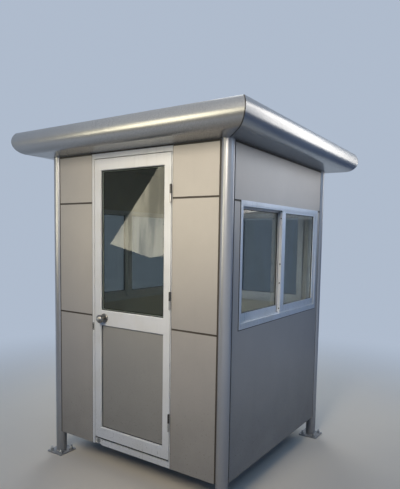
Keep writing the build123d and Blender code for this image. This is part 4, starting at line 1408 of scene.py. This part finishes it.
class BOOTH_OT_studio(bpy.types.Operator):
    """Pale floor, soft lights and the camera"""

    bl_idname = "booth.studio"
    bl_label = "Studio"

    def execute(self, context):
        studio = context.scene.booth_studio
        self.floor(studio)
        self.world(context.scene, studio)
        warm, cool, plain = (1.0, 0.89, 0.72), (0.54, 0.72, 1.0), (0.92, 0.96, 1.0)
        room_place = (-0.3, -0.52, 1.95)
        for lamp in (
            ("Key light", (0.9, -3.3, 3.0), (0.4, -0.74, 1.65), (1.4, 1.4), studio.key_power, warm, 80.0),
            ("Top light", (-0.6, 0.8, 5.6), (-0.2, 0.0, 2.0), (2.4, 2.4), studio.top_power, plain, 180.0),
            ("Side light", (2.3, 0.0, 2.8), (0.74, 0.0, 1.8), (1.0, 0.8), studio.side_power, cool, 80.0),
            ("Back light", (-2.4, 3.4, 3.0), (-0.2, 0.7, 1.3), (2.2, 1.6), studio.back_power, plain, 180.0),
            ("Room light", room_place, (0.45, 0.68, 1.05), (0.3, 0.2), studio.room_power, plain, 64.0),
        ):
            self.softbox(*lamp)
        bright_front = ((-1.98, 2.62), (-2.92, 1.51), (-2.17, 1.34), (-0.5, 1.62), (-0.5, 2.62))
        bright_side = ((1.6, 4.4), (3.4, 4.4), (3.4, 1.95), (1.9, 2.1))
        dark_side = ((1.2, 1.9), (6.0, 1.9), (6.0, 0.0), (1.2, 0.0))
        dark_front = ((-3.7, 2.7), (-0.1, 2.7), (-0.1, 0.1), (-3.7, 0.1))
        for card in (
            ("Front card", -3.5, bright_front, (1.0, 0.93, 0.70), studio.front_card),
            ("Side card", 3.4, bright_side, (1.0, 0.97, 0.94), studio.side_card),
            ("Side flag", 3.4, dark_side, studio.side_flag, 1.0),
            ("Front flag", -3.55, dark_front, studio.front_flag, 1.0),
        ):
            self.card(*card)
        self.camera(context.scene, studio)
        context.scene.view_settings.view_transform = "Standard"
        return {"FINISHED"}

    def floor(self, studio):
        """A disc of floor: rings of points at growing radius. Near the booth it takes shadows, and further
        off it turns into the backdrop."""
        shadow_reach, backdrop_from = 1.6, 5.0
        radii = [0.01, 0.8, 1.6, 3.0, 6.0, 12.0, 12.0, 0.01]
        heights = [0.0, 0.0, 0.0, 0.0, 0.0, 0.0, -0.01, -0.01]
        surface, tree = new_material("Studio floor")
        points, quads, triangles = turned(radii, heights, segments=96)
        mesh = new_mesh("Studio floor", points.tolist(), quads.tolist() + triangles.tolist(), surface)
        floor = linked("Studio floor", mesh)
        shader = surface.node_tree.nodes["Principled BSDF"]
        shader.inputs["Roughness"].default_value = 0.85
        place = tree.node("ShaderNodeTexCoord").outputs["Object"]
        distance = tree.node("ShaderNodeVectorMath", {0: place}, operation="LENGTH").outputs["Value"]
        seen = self.seen(tree)
        clouds = tree.noise(place, 1.4, 4.0, 0.55)
        pale = tree.mix(clouds, opaque(studio.ground), opaque(studio.ground, 0.95))
        tree.feed(shader.inputs["Base Color"], tree.mix(seen, opaque(studio.ground_bounce), pale))
        away = tree.times(seen, tree.ramp(distance, shadow_reach, backdrop_from))
        backdrop = tree.node("ShaderNodeEmission", {"Color": opaque(studio.backdrop), "Strength": 1.0})
        tree.show(tree.mix_shaders(away, shader, backdrop))

    def seen(self, tree):
        """One where the camera, a reflection or glass looks, and zero where a surface gathers light."""
        path = tree.node("ShaderNodeLightPath").outputs
        shown = tree.maths("MAXIMUM", path["Is Camera Ray"], path["Is Glossy Ray"])
        return tree.maths("MAXIMUM", shown, path["Is Transmission Ray"])

    def world(self, scene, studio):
        """Ambient light of a cloudy sky, and the pale backdrop for the camera, metal and glass."""
        world = bpy.data.worlds.new("Studio world")
        scene.world = world
        world.use_nodes = True
        tree = Tree(world.node_tree)
        world.node_tree.nodes.clear()
        kind, strength = "ShaderNodeBackground", studio.sky_strength
        sky = tree.node(kind, {"Color": opaque(studio.sky), "Strength": strength})
        pale = tree.node(kind, {"Color": opaque(studio.backdrop), "Strength": 1.0})
        tree.node("ShaderNodeOutputWorld", {"Surface": tree.mix_shaders(self.seen(tree), sky, pale)})

    def softbox(self, name, place, target, size, power, colour, spread):
        """A rectangular light that faces a target and isn't seen itself; its spread is in degrees."""
        light = bpy.data.lights.new(name, "AREA")
        light.shape = "RECTANGLE"
        light.size, light.size_y = size
        light.energy = power
        light.spread = math.radians(spread)
        light.color = colour
        lamp = linked(name, light)
        lamp.location = place
        lamp.rotation_euler = (Vector(target) - Vector(place)).to_track_quat("-Z", "Y").to_euler()
        lamp.visible_camera = False
        lamp.visible_transmission = False

    def card(self, name, depth, outline, colour, strength):
        """A reflector card or flag that only gloss shows, faintly streaked: an upright sheet at one depth,
        with its outline given along and up."""
        surface, tree = new_material(name)
        place = tree.node("ShaderNodeTexCoord").outputs["Object"]
        streaks = tree.noise(tree.stretched(place, (1.0, 1.0, 0.12)), 7.0, 3.0, 0.6)
        glow = tree.ramp(streaks, 0.38, 0.62, 0.6 * strength, 1.2 * strength)
        tree.show(tree.node("ShaderNodeEmission", {"Color": opaque(colour), "Strength": glow}))
        points = [(x, depth, z) for x, z in outline]
        card = linked(name, new_mesh(name, points, [list(range(len(points)))], surface))
        card.visible_camera = False
        card.visible_diffuse = False
        card.visible_transmission = False
        card.visible_shadow = False

    def camera(self, scene, studio):
        """The camera from its yaw, pitch and roll; the lens is for a sensor along the long side."""
        data = bpy.data.cameras.new("Camera")
        camera = linked("Camera", data)
        upright = Matrix.Rotation(math.pi / 2 + studio.camera_pitch, 3, "X")
        turned_left = Matrix.Rotation(studio.camera_yaw, 3, "Z") @ upright
        leaned = turned_left @ Matrix.Rotation(studio.camera_roll, 3, "Z")
        camera.matrix_world = Matrix.Translation(studio.camera_place) @ leaned.to_4x4()
        data.lens = studio.lens
        data.sensor_width = 36.0
        data.shift_y = studio.lens_shift
        scene.camera = camera


class BOOTH_PT_panel(bpy.types.Panel):
    """Lists the booth's operators"""

    bl_idname = "BOOTH_PT_panel"
    bl_label = "Guard booth"
    bl_space_type = "VIEW_3D"
    bl_region_type = "UI"
    bl_category = "Booth"

    def draw(self, context):
        for operator in OPERATORS:
            self.layout.operator(operator.bl_idname)


OPERATORS = (
    BOOTH_OT_finishes,
    BOOTH_OT_anchor_bolts,
    BOOTH_OT_foot_welds,
    BOOTH_OT_panel_seals,
    BOOTH_OT_door_surround,
    BOOTH_OT_window_seals,
    BOOTH_OT_window_fittings,
    BOOTH_OT_door_seals,
    BOOTH_OT_hinge_fittings,
    BOOTH_OT_knob_fittings,
    BOOTH_OT_front_fixings,
    BOOTH_OT_roof_fixings,
    BOOTH_OT_studio,
)
SETTINGS = {
    "booth_finishes": BoothFinishes,
    "booth_hardware": BoothHardware,
    "booth_sections": BoothSections,
    "booth_studio": BoothStudio,
}


def register():
    for settings in SETTINGS.values():
        bpy.utils.register_class(settings)
    for operator in OPERATORS:
        bpy.utils.register_class(operator)
    bpy.utils.register_class(BOOTH_PT_panel)
    for name, settings in SETTINGS.items():
        setattr(bpy.types.Scene, name, PointerProperty(type=settings))


def unregister():
    for name in SETTINGS:
        delattr(bpy.types.Scene, name)
    bpy.utils.unregister_class(BOOTH_PT_panel)
    for operator in reversed(OPERATORS):
        bpy.utils.unregister_class(operator)
    for settings in SETTINGS.values():
        bpy.utils.unregister_class(settings)


def main():
    register()
    for operator in OPERATORS:
        group, name = operator.bl_idname.split(".")
        getattr(getattr(bpy.ops, group), name)()


if __name__ == "__main__":
    main()
